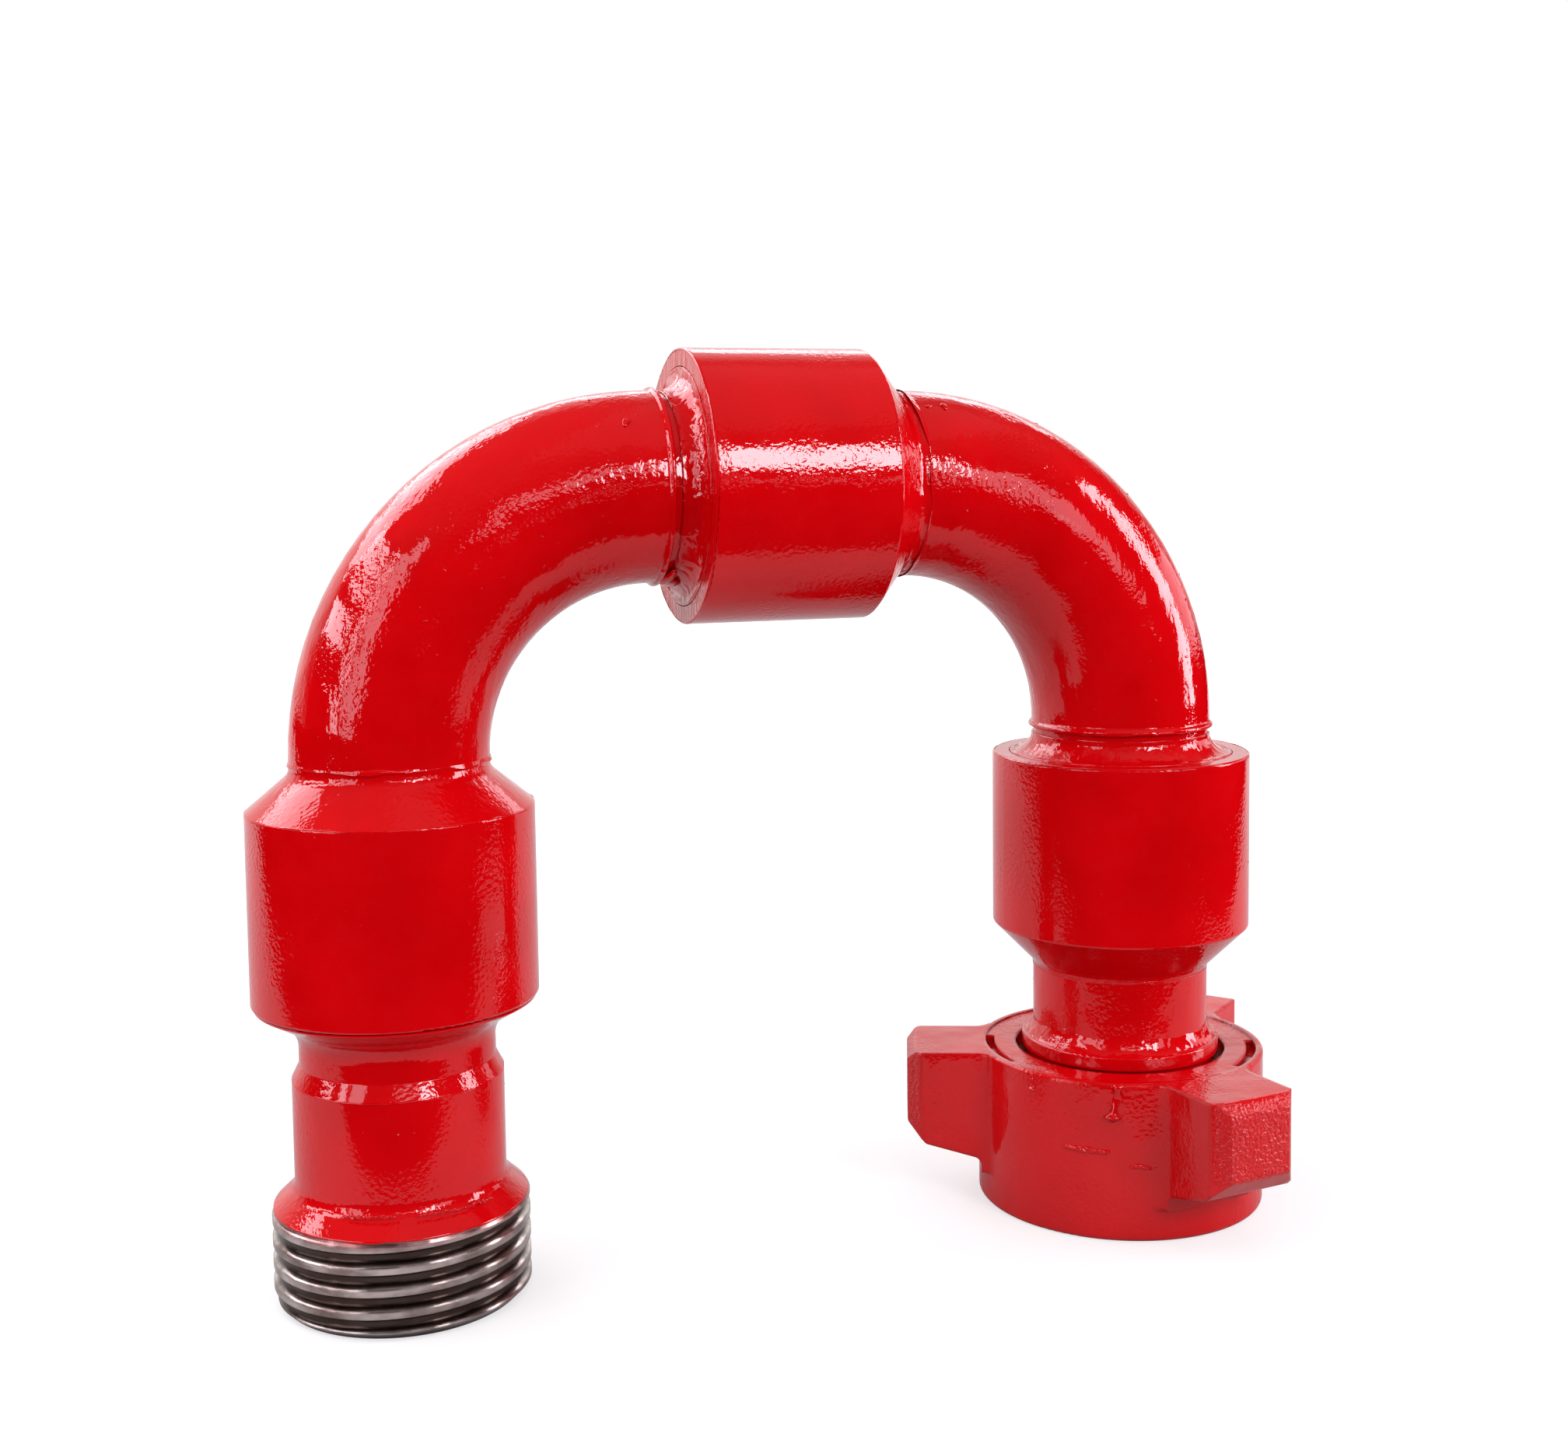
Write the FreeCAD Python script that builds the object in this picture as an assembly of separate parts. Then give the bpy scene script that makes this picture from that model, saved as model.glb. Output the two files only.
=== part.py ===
import FreeCAD, Part
import math
import os

# Three-swivel joint for a high-pressure line: a threaded sub, two long-radius
# elbows and a wing-nut sub, joined by three ball-bearing swivels.
# Millimetres, Z up. The origin is on the floor, on the axis of the threaded
# sub. The arch runs along X, and Y points to its hidden back.

# Pressure pipe
bore_r = 23.8            # 1 7/8 inch flow passage
tube_r = 38.5            # outside of the elbow tubes
bend_r = 103.0           # centre line of both 90 degree bends

# Swivel barrels, all three alike
barrel_r = 55.5
barrel_len = 75.0
barrel_edge = 1.2        # rounding of the barrel's rims
cone_len = 19.0          # barrel shoulder to the start of the bend
cone_slope = 50.0        # degrees from the axis
cone_cove = 11.0         # radius at the foot of the cone

# Male end outside the barrel
male_straight = 15.0     # end of the bend to the barrel's face
bead_r = 39.8            # swollen end of the tube above the groove
bead_len = 2.6
relief_r = 37.6          # groove between bead and flare
relief_len = 3.2
flare_r = 48.0           # widest part of the flare at the barrel's face
flare_cove = 8.3

# Swivel cartridge, measured inwards from the barrel's face
mouth_depth = 5.0
nose_r = 39.0
nose_len = 57.0
spigot_r = 33.8
spigot_len = 4.0
bore_chamfer = 1.0       # where the bore of a sub meets a rubber or metal ring
pocket_depth = 70.0      # face to the bottom of the packing pocket
pocket_play = 0.3        # radial room of the rings in the pocket
pocket_corner = 0.6
ball_r = 6.35            # half-inch balls
first_race = 22.0
race_pitch = 20.5
race_rows = 2
ball_gap = 0.7           # room between two balls of a full row
ball_turn = 3.0          # degrees from the side to the first ball of a row
seal_wire = 2.1          # section radius of the dust seal
seal_at = 9.6            # face to the dust seal's centre
seal_lift = 0.25         # between the dust seal and the bearing bore
seal_play = 0.2          # each side of the dust seal in its groove
back_ring_len = 2.5      # metal ring behind the packing
back_ring_room = 0.9     # its bore is wider than the flow bore, in radius
packing_room = 0.5       # the same for the packing
packing_lip = 1.1        # depth of the groove in the packing's lip
lip_half = 1.2           # half its width

# Ball-loading ports and grease fitting, on the hidden back
port_spread = 15.0       # degrees each side of the back
plug_r = 8.5
plug_len = 6.4
plug_sunk = 0.6          # plug face below the barrel's surface
plug_socket = 8.0        # across flats
plug_socket_depth = 3.6
fitting_shank_r = 3.2
fitting_shank_len = 6.0
fitting_hex = 9.0        # across flats
fitting_hex_len = 4.0
fitting_collar_r = 2.9
fitting_neck_r = 2.0
fitting_neck_len = 3.0
fitting_head_r = 3.1
fitting_head_len = 1.4
fitting_tip_r = 1.2
fitting_tip_len = 1.4
fitting_duct_r = 1.2
spot_r = 6.5             # flat spot under the grease fitting
spot_wall = 0.3          # least height of the wall round the spot

# Clearances
run_fit = 0.1            # radial, nose in barrel
face_gap = 0.3           # between faces that turn past each other
ball_room = 0.2          # race wider than its ball, in radius
port_room = 0.5          # loading port wider than its ball, in radius
thread_play = 0.05       # plug in its port
ring_play = 0.1          # between a loose ring or a plug's pin and its seat

# Threaded sub, left leg
thread_sub_len = 118.0   # floor to the barrel's face
thread_pitch = 25.4 / 3
thread_major_r = 50.0
thread_depth = 2.9
thread_root = 2.7        # width of the groove at its bottom
thread_mouth = 6.6       # width of the groove 1 mm beyond the crests
thread_len = 37.0
thread_lead = 3.6        # chamfer at the thread's start
shoulder_r = 49.4        # painted shoulder above the thread
thread_collar_r = 41.0
thread_collar_low = 46.0
thread_collar_top = 88.0
thread_neck_r = 38.0
neck_chamfer_len = 6.0
skirt_r = 54.4           # flared skirt that closes the barrel
skirt_cone_r = 44.6      # where the skirt's curve turns into its cone
skirt_slope = 32.0       # degrees above level
skirt_cove = 13.6

# Union seat in the threaded sub and nose of the wing sub
union_nose_len = 16.0
union_nose_r = 37.6
union_tip_r = 31.2
seat_room = 0.6
union_seal_len = 8.0
union_seal_r = 34.0
union_seal_room = 0.4    # between the seal and the bore, and under the nose

# Wing sub, right leg
wing_neck_r = 37.8
wing_collar_r = 42.8
wing_collar_top = 72.0
wing_collar_low = 66.0
wing_cove = 6.0
journal_r = 40.5
flange_r = 45.2
flange_top = 27.0
shoulder_cove = 5.0

# Wing nut
nut_r = 62.0
nut_len = 67.0
nut_bore_r = 45.6
nut_thread_play = 0.5
nut_thread_len = 35.0
nut_edge = 2.0
chamber_r = 52.0
ledge_at = 50.0          # nut's foot to the ledge over the segments
spot_face_r = 59.0
spot_face_depth = 0.7
lug_angles = (159.0, 279.0, 39.0)
lug_width = 42.0
lug_reach = 94.0
lug_brow = 4.0            # slope between the lug's top and its end face
lug_face_low = 35.0       # lower edge of the end face
lug_low = 26.5            # foot of the chamfer under the end face
lug_undercut = 8.0        # how far that chamfer runs back
lug_root_low = 20.0
lug_flank_cove = 8.0
lug_root_cove = 6.0
lug_edge = 3.0            # rounding of the lug's level edges
lug_corner = 6.0          # chamfer of its upright edges
crescent_angles = (170.0, 66.0, 322.0)
crescent_span = 40.0
crescent_width = 4.2
crescent_depth = 4.0

# Segments and snap ring that hold the nut on its sub
segment_count = 3
segment_gap = 1.5        # between the ends of two segments
segment_inner_r = 40.8
segment_outer_r = 51.7
snap_len = 2.8
snap_inner_r = 49.8
snap_groove_r = 54.0
snap_at = 36.2
snap_gap_angle = 8.0

# Places that follow from the sizes
left_mouth_z = thread_sub_len
bend_start_z = left_mouth_z + barrel_len + cone_len
top_z = bend_start_z + bend_r
top_mouth_x = bend_r + male_straight
span_x = top_mouth_x + barrel_len + cone_len + bend_r
right_mouth_z = top_z - bend_r - male_straight
bearing_r = nose_r + run_fit
race_centre_r = nose_r + run_fit / 2
pocket_r = spigot_r + pocket_play
socket_len = nose_len + face_gap
thread_minor_r = thread_major_r - thread_depth
lug_root_r = nut_bore_r + 4          # a lug's body starts inside the nut's wall

NODES = {}


def vec(x, y, z):
    return FreeCAD.Vector(x, y, z)


def rounded_wire(corners):
    """Closed outline in the XZ plane. A corner is (r, z) or (r, z, radius): its radius
    is turned into an arc tangent to both sides, limited by the length of the sides."""
    count = len(corners)
    arcs = []
    for i in range(count):
        here = vec(corners[i][0], 0, corners[i][1])
        before = vec(corners[i - 1][0], 0, corners[i - 1][1]) - here
        after = vec(corners[(i + 1) % count][0], 0, corners[(i + 1) % count][1]) - here
        radius = corners[i][2] if len(corners[i]) > 2 else 0
        if radius <= 0:
            arcs.append((here, None, here))
            continue
        half = before.getAngle(after) / 2
        reach = radius / math.tan(half)
        reach = min(reach, 0.49 * before.Length, 0.49 * after.Length)
        radius = reach * math.tan(half)
        before.normalize()
        after.normalize()
        middle = before + after
        middle.normalize()
        top = here + middle * (radius / math.sin(half) - radius)
        arcs.append((here + before * reach, top, here + after * reach))
    edges = []
    for i in range(count):
        start, top, end = arcs[i]
        if top is not None:
            edges.append(Part.Arc(start, top, end).toShape())
        following = arcs[(i + 1) % count][0]
        if end.distanceToPoint(following) > 1e-6:
            edges.append(Part.LineSegment(end, following).toShape())
    return Part.Wire(edges)


def turned(corners):
    """Solid of revolution about Z of a rounded outline given as (r, z) corners."""
    face = Part.Face(rounded_wire(corners))
    return face.revolve(vec(0, 0, 0), vec(0, 0, 1), 360)


def ring(inner_r, outer_r, low, high, edge=0.0):
    return turned([(inner_r, low, edge), (outer_r, low, edge), (outer_r, high, edge), (inner_r, high, edge)])


def prism(points, length):
    """Upright prism on a closed polygon."""
    return Part.Face(Part.makePolygon(points + [points[0]])).extrude(vec(0, 0, length))


def hexagon(across_flats, length, low):
    corner_r = across_flats / math.sqrt(3)
    points = []
    for i in range(6):
        angle = math.radians(60 * i)
        points.append(vec(corner_r * math.cos(angle), corner_r * math.sin(angle), low))
    return prism(points, length)


def sector(span_angle, length):
    """Wedge about Z, centred on +X, that reaches past the nut."""
    reach = 2 * nut_r
    side = reach * math.tan(math.radians(span_angle / 2))
    return prism([vec(0, 0, 0), vec(reach, -side, 0), vec(reach, side, 0)], length)


def join(first, others):
    solid = first
    for other in others:
        solid = solid.fuse(other)
    return solid.removeSplitter()


def cut_all(solid, tools):
    for tool in tools:
        solid = solid.cut(tool)
    return solid


def threaded(blank_inner, blank_outer, groove_inner, groove_outer, envelope):
    """Right-hand threaded sleeve. A helical groove, narrow at one radius and wide at the
    other, is cut into a long blank, which is then trimmed to the turned envelope."""
    length = envelope.BoundBox.ZMax
    turns = math.ceil(length / thread_pitch) + 2
    start = -thread_pitch
    path = Part.makeHelix(thread_pitch, thread_pitch * turns, min(groove_inner[0], groove_outer[0]))
    path.translate(vec(0, 0, start))
    corners = []
    for radius, half in (groove_inner, groove_outer):
        corners.append(vec(radius, 0, start - half))
    for radius, half in (groove_outer, groove_inner):
        corners.append(vec(radius, 0, start + half))
    section = Part.makePolygon(corners + [corners[0]])
    groove = Part.Wire(path.Edges).makePipeShell([section], True, True)
    blank = ring(blank_inner, blank_outer, -2 * thread_pitch, length + 4 * thread_pitch)
    return blank.cut(groove).common(envelope)


# The three swivels: each placement puts the barrel's face at the origin, with
# +Z running into the barrel and +Y on the hidden back.

def about_y(degrees, x, y, z):
    return FreeCAD.Placement(vec(x, y, z), FreeCAD.Rotation(vec(0, 1, 0), degrees))


SWIVELS = {
    "lower_left": about_y(0, 0, 0, left_mouth_z),
    "upper": about_y(90, top_mouth_x, 0, top_z),
    "lower_right": about_y(180, span_x, 0, right_mouth_z),
}


def placed(shape, placement):
    moved = shape.copy()
    moved.Placement = placement.multiply(moved.Placement)
    return moved


def race_depths():
    return [first_race + race_pitch * row for row in range(race_rows)]


def port_angles():
    """The loading ports stand alternately each side of the back."""
    return [90 + port_spread * (-1) ** row for row in range(race_rows)]


def radial(shape, angle, depth):
    """Turn a piece that is built along +Z with its origin on the barrel's surface, so
    that +Z points straight out of the barrel at this angle and depth."""
    turn = FreeCAD.Rotation(vec(0, 0, 1), angle).multiply(FreeCAD.Rotation(vec(0, 1, 0), 90))
    moved = shape.copy()
    direction = turn.multVec(vec(0, 0, 1))
    moved.Placement = FreeCAD.Placement(direction * barrel_r + vec(0, 0, depth), turn)
    return moved


def races(room):
    """Ring-shaped grooves for the ball rows, cut half into the nose and half into the barrel."""
    return [Part.makeTorus(race_centre_r, ball_r + room, vec(0, 0, depth)) for depth in race_depths()]


def socket(bore_end):
    """Everything that is hollow in a female barrel, with the bore cut to this depth."""
    hollow = turned([(0, -1), (flare_r + face_gap, -1), (flare_r + face_gap, mouth_depth, 0.6),
                     (bearing_r, mouth_depth), (bearing_r, socket_len), (pocket_r, socket_len),
                     (pocket_r, pocket_depth, pocket_corner), (bore_r, pocket_depth), (bore_r, bore_end),
                     (0, bore_end)])
    groove_half = seal_wire + seal_play
    groove = ring(bearing_r - 1, bearing_r + 2 * seal_wire + seal_lift + seal_play / 4,
                  seal_at - groove_half, seal_at + groove_half)
    tools = [hollow, groove] + races(ball_room)
    for angle, depth in zip(port_angles(), race_depths()):
        passage_len = barrel_r - race_centre_r + 2
        seat_len = plug_len + plug_sunk
        passage = Part.makeCylinder(ball_r + port_room, passage_len, vec(0, 0, -passage_len))
        seat = Part.makeCylinder(plug_r + thread_play, seat_len + 1, vec(0, 0, -seat_len))
        tools.append(radial(passage.fuse(seat), angle, depth))
    tools.append(radial(fitting_hole(), 90, fitting_depth()))
    return tools


def fitting_depth():
    """The grease fitting stands between the first two ball rows."""
    return first_race + race_pitch / 2


def fitting_hole():
    duct_len = barrel_r - nose_r + 1
    duct = Part.makeCylinder(fitting_duct_r, duct_len, vec(0, 0, -duct_len))
    shank = Part.makeCylinder(fitting_shank_r + thread_play, fitting_shank_len, vec(0, 0, -fitting_shank_len))
    spot = Part.makeCylinder(spot_r, 2, vec(0, 0, -spot_sag()))
    return duct.fuse(shank).fuse(spot)


def spot_sag():
    """Depth of the flat spot below the highest line of the barrel's round surface."""
    return barrel_r - math.sqrt(barrel_r ** 2 - spot_r ** 2) + spot_wall


def nose(outside):
    """Male end: the given outside corners, then the bearing nose inside the barrel.
    The outside corners start at the bore and end at the flare's edge."""
    tip = nose_len + spigot_len
    inside = [(flare_r, mouth_depth - face_gap, 0.5), (nose_r, mouth_depth - face_gap),
              (nose_r, nose_len, 0.8), (spigot_r, nose_len), (spigot_r, tip, 0.6),
              (bore_r + bore_chamfer, tip), (bore_r, tip - bore_chamfer)]
    return cut_all(turned(outside + inside), races(ball_room))


def elbow_male_outside():
    """Tube end, bead, relief groove and flare down to the barrel's face."""
    bead_low = -flare_cove - relief_len
    bead_top = bead_low - bead_len
    return [(bore_r, -male_straight), (tube_r, -male_straight), (tube_r, bead_top, 2.0),
            (bead_r, bead_top + bead_r - tube_r, 1.0), (bead_r, bead_low, 0.5), (relief_r, bead_low, 0.5),
            (relief_r, bead_low + relief_len, 0.8), (relief_r + 1, bead_low + relief_len),
            (relief_r + 1, -face_gap, flare_cove), (flare_r, -face_gap, 0.4)]


def cone_corners():
    """Shoulder cone and its cove between the barrel and the elbow tube."""
    rise = (barrel_r - tube_r) / math.tan(math.radians(cone_slope))
    return [(barrel_r, barrel_len, barrel_edge), (tube_r, barrel_len + rise, cone_cove)]


def elbow():
    """One forging: female barrel with its face at the origin, cone, bend towards +X,
    and male end along +X."""
    barrel = turned([(0, 0), (barrel_r, 0, barrel_edge)] + cone_corners()
                    + [(tube_r, barrel_len + cone_len), (0, barrel_len + cone_len)])
    barrel = cut_all(barrel, socket(barrel_len + cone_len))
    centre = vec(bend_r, 0, barrel_len + cone_len)
    start = vec(0, 0, barrel_len + cone_len)
    discs = [Part.Face(Part.Wire(Part.makeCircle(r, start, vec(0, 0, 1)))) for r in (tube_r, bore_r)]
    bend = discs[0].cut(discs[1]).Faces[0].revolve(centre, vec(0, 1, 0), 90)
    male = placed(nose(elbow_male_outside()),
                  about_y(90, bend_r + male_straight, 0, barrel_len + cone_len + bend_r))
    return join(barrel, [bend, male])


def thread_sub():
    """Threaded union end, collar, neck and the flared skirt under the left barrel."""
    seat_end = union_nose_len
    seal_end = seat_end + union_seal_len
    skirt_low = thread_sub_len - face_gap - (skirt_r - skirt_cone_r) * math.tan(math.radians(skirt_slope))
    cone_foot = skirt_low - (skirt_cone_r - thread_neck_r) * math.tan(math.radians(skirt_slope))
    core_r = thread_minor_r - 1
    foot = -thread_sub_len
    outside = [
        (bore_r, seal_end + bore_chamfer + foot), (bore_r + bore_chamfer, seal_end + foot),
        (union_seal_r + ring_play, seal_end + foot), (union_seal_r + ring_play, seat_end + foot),
        (union_tip_r + seat_room, seat_end + foot), (union_nose_r + seat_room, foot),
        (core_r, foot), (core_r, thread_len + foot),
        (shoulder_r, thread_len + foot), (shoulder_r, thread_len + foot + 1.2, 0.8),
        (thread_collar_r, thread_collar_low + foot, 7.0), (thread_collar_r, thread_collar_top + foot, 1.0),
        (thread_neck_r, thread_collar_top + neck_chamfer_len + foot, 1.0),
        (thread_neck_r, cone_foot + foot, skirt_cove), (skirt_r, -face_gap - 0.8, 0.4), (skirt_r, -face_gap),
        (flare_r, -face_gap)]
    body = placed(nose(outside), SWIVELS["lower_left"])
    inner_r = core_r - 1
    outer_r = thread_major_r + 1
    envelope = turned([(inner_r, 0), (thread_major_r - thread_lead, 0), (outer_r, thread_lead + 1),
                       (outer_r, thread_len), (inner_r, thread_len)])
    thread = threaded(inner_r, thread_major_r, (thread_minor_r, thread_root / 2),
                      (outer_r, thread_mouth / 2), envelope)
    return body.fuse(thread)


def wing_sub():
    """Right leg: female barrel, cone, neck, collar in the nut, flange and union nose.
    The depth of a corner below the barrel's face is foot less its height."""
    foot = right_mouth_z
    rise = barrel_r - wing_neck_r
    body = turned([
        (0, foot), (0, 0), (barrel_r, 0, barrel_edge), (barrel_r, barrel_len, barrel_edge),
        (wing_neck_r, barrel_len + rise, shoulder_cove), (wing_neck_r, foot - wing_collar_top, wing_cove),
        (wing_collar_r, foot - wing_collar_top, 0.8), (wing_collar_r, foot - wing_collar_low, 0.5),
        (journal_r, foot - wing_collar_low), (journal_r, foot - flange_top),
        (flange_r, foot - flange_top, 0.8), (flange_r, foot - union_nose_len, 0.8),
        (union_nose_r, foot - union_nose_len), (union_tip_r, foot, 0.8)])
    return placed(cut_all(body, socket(foot + 1)), SWIVELS["lower_right"])


def lug():
    """One hammer lug pointing along +X, blended into the nut's round wall."""
    half = lug_width / 2
    cove_y = half + lug_flank_cove
    cove_x = math.sqrt((nut_r + lug_flank_cove) ** 2 - cove_y ** 2)
    share = nut_r / (nut_r + lug_flank_cove)
    outline = []
    for side in (1, -1):
        wall = vec(cove_x * share, side * cove_y * share, 0)
        flank = vec(cove_x, side * half, 0)
        towards = (wall + flank) * 0.5 - vec(cove_x, side * cove_y, 0)
        towards.normalize()
        middle = vec(cove_x, side * cove_y, 0) + towards * lug_flank_cove
        tip = vec(lug_reach - lug_corner, side * half, 0)
        corner = vec(lug_reach, side * (half - lug_corner), 0)
        outline.append((wall, middle, flank, tip, corner))
    left, right = outline
    corners = [vec(lug_root_r, left[0].y, 0), left[0], left[2], left[3], left[4],
               right[4], right[3], right[2], right[0], vec(lug_root_r, right[0].y, 0)]
    edges = [Part.Arc(left[0], left[1], left[2]).toShape(),
             Part.Arc(right[2], right[1], right[0]).toShape()]
    for start, end in zip(corners, corners[1:] + corners[:1]):
        if (start, end) not in ((left[0], left[2]), (right[2], right[0])):
            edges.append(Part.LineSegment(start, end).toShape())
    outline_wire = Part.Wire(Part.__sortEdges__(edges))
    plan = Part.Face(outline_wire).extrude(vec(0, 0, nut_len))
    inside = lug_root_r - 1
    wall_foot = lug_root_low - lug_root_cove
    side_wire = rounded_wire([
        (inside, nut_len), (lug_reach - lug_brow, nut_len, lug_edge),
        (lug_reach, nut_len - lug_brow, lug_edge), (lug_reach, lug_face_low, lug_edge),
        (lug_reach - lug_undercut, lug_low, lug_edge),
        (nut_r, lug_root_low, lug_root_cove), (nut_r, wall_foot), (inside, wall_foot)])
    profile = Part.Face(side_wire)
    profile.translate(vec(0, -2 * lug_width, 0))
    slab = profile.extrude(vec(0, 4 * lug_width, 0))
    return plan.common(slab)


def crescent(angle):
    """Cast relief in the nut's top face, deepest at its middle and thin at its ends."""
    shift = 2.2 * crescent_width
    height = crescent_depth + 1
    outer = Part.makeCylinder(spot_face_r, height)
    inner = Part.makeCylinder(spot_face_r - crescent_width + shift, height, vec(-shift, 0, 0))
    moon = outer.cut(inner).common(sector(crescent_span, height))
    moon.translate(vec(0, 0, nut_len - crescent_depth))
    moon.rotate(vec(0, 0, 0), vec(0, 0, 1), angle)
    return moon


def wing_nut():
    """Three-lug hammer nut with its thread, segment chamber and ledge."""
    minor_r = thread_minor_r + nut_thread_play
    major_r = thread_major_r + nut_thread_play
    blank_r = major_r + 1
    groove_low = snap_at - ring_play
    groove_top = snap_at + snap_len + ring_play
    body = turned([
        (nut_r, 0, nut_edge), (nut_r, nut_len, 1.2), (nut_bore_r, nut_len, 0.8),
        (nut_bore_r, ledge_at), (chamber_r, ledge_at), (chamber_r, groove_top),
        (snap_groove_r, groove_top), (snap_groove_r, groove_low),
        (minor_r, groove_low), (minor_r, nut_thread_len), (blank_r, nut_thread_len), (blank_r, 0)])
    core = Part.makeCylinder((snap_groove_r + nut_r) / 2, nut_len)
    wing = lug().cut(core)
    for angle in lug_angles:
        turned_wing = wing.copy()
        turned_wing.rotate(vec(0, 0, 0), vec(0, 0, 1), angle)
        body = body.fuse(turned_wing)
    spot = Part.makeCylinder(spot_face_r, 2 * spot_face_depth, vec(0, 0, nut_len - spot_face_depth))
    body = cut_all(body, [spot] + [crescent(angle) for angle in crescent_angles])
    inner_r = minor_r - 1
    outer_r = blank_r + 1
    envelope = turned([(minor_r + thread_lead, 0), (outer_r, 0), (outer_r, nut_thread_len),
                       (inner_r, nut_thread_len), (inner_r, thread_lead + 1)])
    thread = threaded(minor_r, outer_r, (inner_r, thread_mouth / 2), (major_r, thread_root / 2), envelope)
    body = body.fuse(thread)
    body.translate(vec(span_x, 0, 0))
    return body


def nut_segments():
    """Loose ring sectors that carry the nut's ledge on the sub's flange."""
    whole = ring(segment_inner_r, segment_outer_r, snap_at + snap_len, ledge_at - face_gap, 0.6)
    saws = []
    for i in range(segment_count):
        saw = Part.makeBox(2 * nut_r, segment_gap, nut_len, vec(0, -segment_gap / 2, 0))
        saw.rotate(vec(0, 0, 0), vec(0, 0, 1), 90 + 360 * i / segment_count)
        saws.append(saw)
    pieces = cut_all(whole, saws)
    pieces.translate(vec(span_x, 0, 0))
    return pieces


def snap_ring():
    """Open spring ring in the nut's groove, under the segments."""
    whole = ring(snap_inner_r, snap_groove_r - 2 * ring_play, snap_at, snap_at + snap_len)
    gap = sector(snap_gap_angle, nut_len)
    gap.rotate(vec(0, 0, 0), vec(0, 0, 1), 90)
    ring_open = whole.cut(gap)
    ring_open.translate(vec(span_x, 0, 0))
    return ring_open


def union_seal():
    """Rubber lip ring at the bottom of the threaded sub's seat."""
    inner_r = bore_r + union_seal_room
    low = union_nose_len + union_seal_room
    top = union_nose_len + union_seal_len
    return turned([(inner_r, low, 0.6), (union_seal_r, low, 0.6),
                   (union_seal_r, top, 0.4), (inner_r, top, 0.4)])


def ball_rows():
    """Full rows of loose balls, a group of separate solids."""
    balls = []
    per_row = int(2 * math.pi * race_centre_r / (2 * ball_r + ball_gap))
    for row, depth in enumerate(race_depths()):
        for i in range(per_row):
            angle = math.radians(ball_turn) + 2 * math.pi * (i + 0.5 * row) / per_row
            centre = vec(race_centre_r * math.cos(angle), race_centre_r * math.sin(angle), depth)
            balls.append(Part.makeSphere(ball_r, centre))
    return Part.makeCompound(balls)


def backup_ring():
    """Metal ring between the male spigot and the packing."""
    low = nose_len + spigot_len + face_gap
    return ring(bore_r + back_ring_room, pocket_r - ring_play, low, low + back_ring_len, 0.3)


def packing():
    """Rubber pressure ring with a lip groove, at the bottom of the pocket."""
    low = nose_len + spigot_len + face_gap + back_ring_len
    high = pocket_depth
    middle = (bore_r + pocket_r) / 2
    body = ring(bore_r + packing_room, pocket_r - ring_play, low, high, pocket_corner + 0.2)
    lip = turned([(middle - lip_half, high + 1), (middle, high - packing_lip), (middle + lip_half, high + 1)])
    return body.cut(lip)


def dust_seal():
    return Part.makeTorus(bearing_r + seal_wire + seal_lift, seal_wire, vec(0, 0, seal_at))


def ball_plugs():
    """Screwed plugs that close the loading ports, one for each ball row."""
    plugs = []
    for angle, depth in zip(port_angles(), race_depths()):
        pin_end = race_centre_r + ball_r + ball_room + ring_play - barrel_r
        pin_r = ball_r - ring_play
        seat = -plug_sunk - plug_len
        plug = turned([(0, pin_end), (pin_r, pin_end, 0.4), (pin_r, seat), (plug_r, seat, 0.6),
                       (plug_r, -plug_sunk, 0.8), (0, -plug_sunk)])
        socket_hex = hexagon(plug_socket, plug_socket_depth + 1, -plug_sunk - plug_socket_depth)
        plugs.append(radial(plug.cut(socket_hex), angle, depth))
    return Part.makeCompound(plugs)


def grease_fitting():
    """Hexagon-based nipple between the ball rows."""
    base = -spot_sag()
    hex_top = base + fitting_hex_len
    shank = Part.makeCylinder(fitting_shank_r, fitting_shank_len + base + 0.5, vec(0, 0, -fitting_shank_len))
    head_low = hex_top + fitting_neck_len
    head_top = head_low + fitting_head_len
    tip = head_top + fitting_tip_len
    head = turned([(0, hex_top - 0.5), (fitting_collar_r, hex_top - 0.5),
                   (fitting_neck_r, head_low - fitting_tip_len), (fitting_head_r, head_low, 0.8),
                   (fitting_head_r, head_top, 0.8), (fitting_tip_r, tip), (0, tip)])
    body = join(shank, [hexagon(fitting_hex, fitting_hex_len, base), head])
    return radial(body, 90, fitting_depth())


def add(name, shape):
    NODES[name] = shape


add("thread_sub", thread_sub())
add("union_seal", union_seal())
forging = elbow()
add("lower_elbow", placed(forging, SWIVELS["lower_left"]))
add("upper_elbow", placed(forging, SWIVELS["upper"]))
add("wing_sub", wing_sub())
add("wing_nut", wing_nut())
add("nut_segments", nut_segments())
add("nut_snap_ring", snap_ring())

INNER = {"ball_rows": ball_rows(), "packing_ring": packing(), "backup_ring": backup_ring(),
         "dust_seal": dust_seal(), "ball_plugs": ball_plugs(), "grease_fitting": grease_fitting()}
for where, placement in SWIVELS.items():
    for name, piece in INNER.items():
        add(where + "_" + name, placed(piece, placement))

os.makedirs("parts", exist_ok=True)
for name, shape in NODES.items():
    shape.exportStep(os.path.join("parts", name + ".step"))
    box = shape.BoundBox
    print(name, len(shape.Solids), "solids", shape.isValid(), round(shape.Volume / 1000, 2), "cm3",
          [round(v, 2) for v in (box.XMin, box.YMin, box.ZMin, box.XMax, box.YMax, box.ZMax)])
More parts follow.
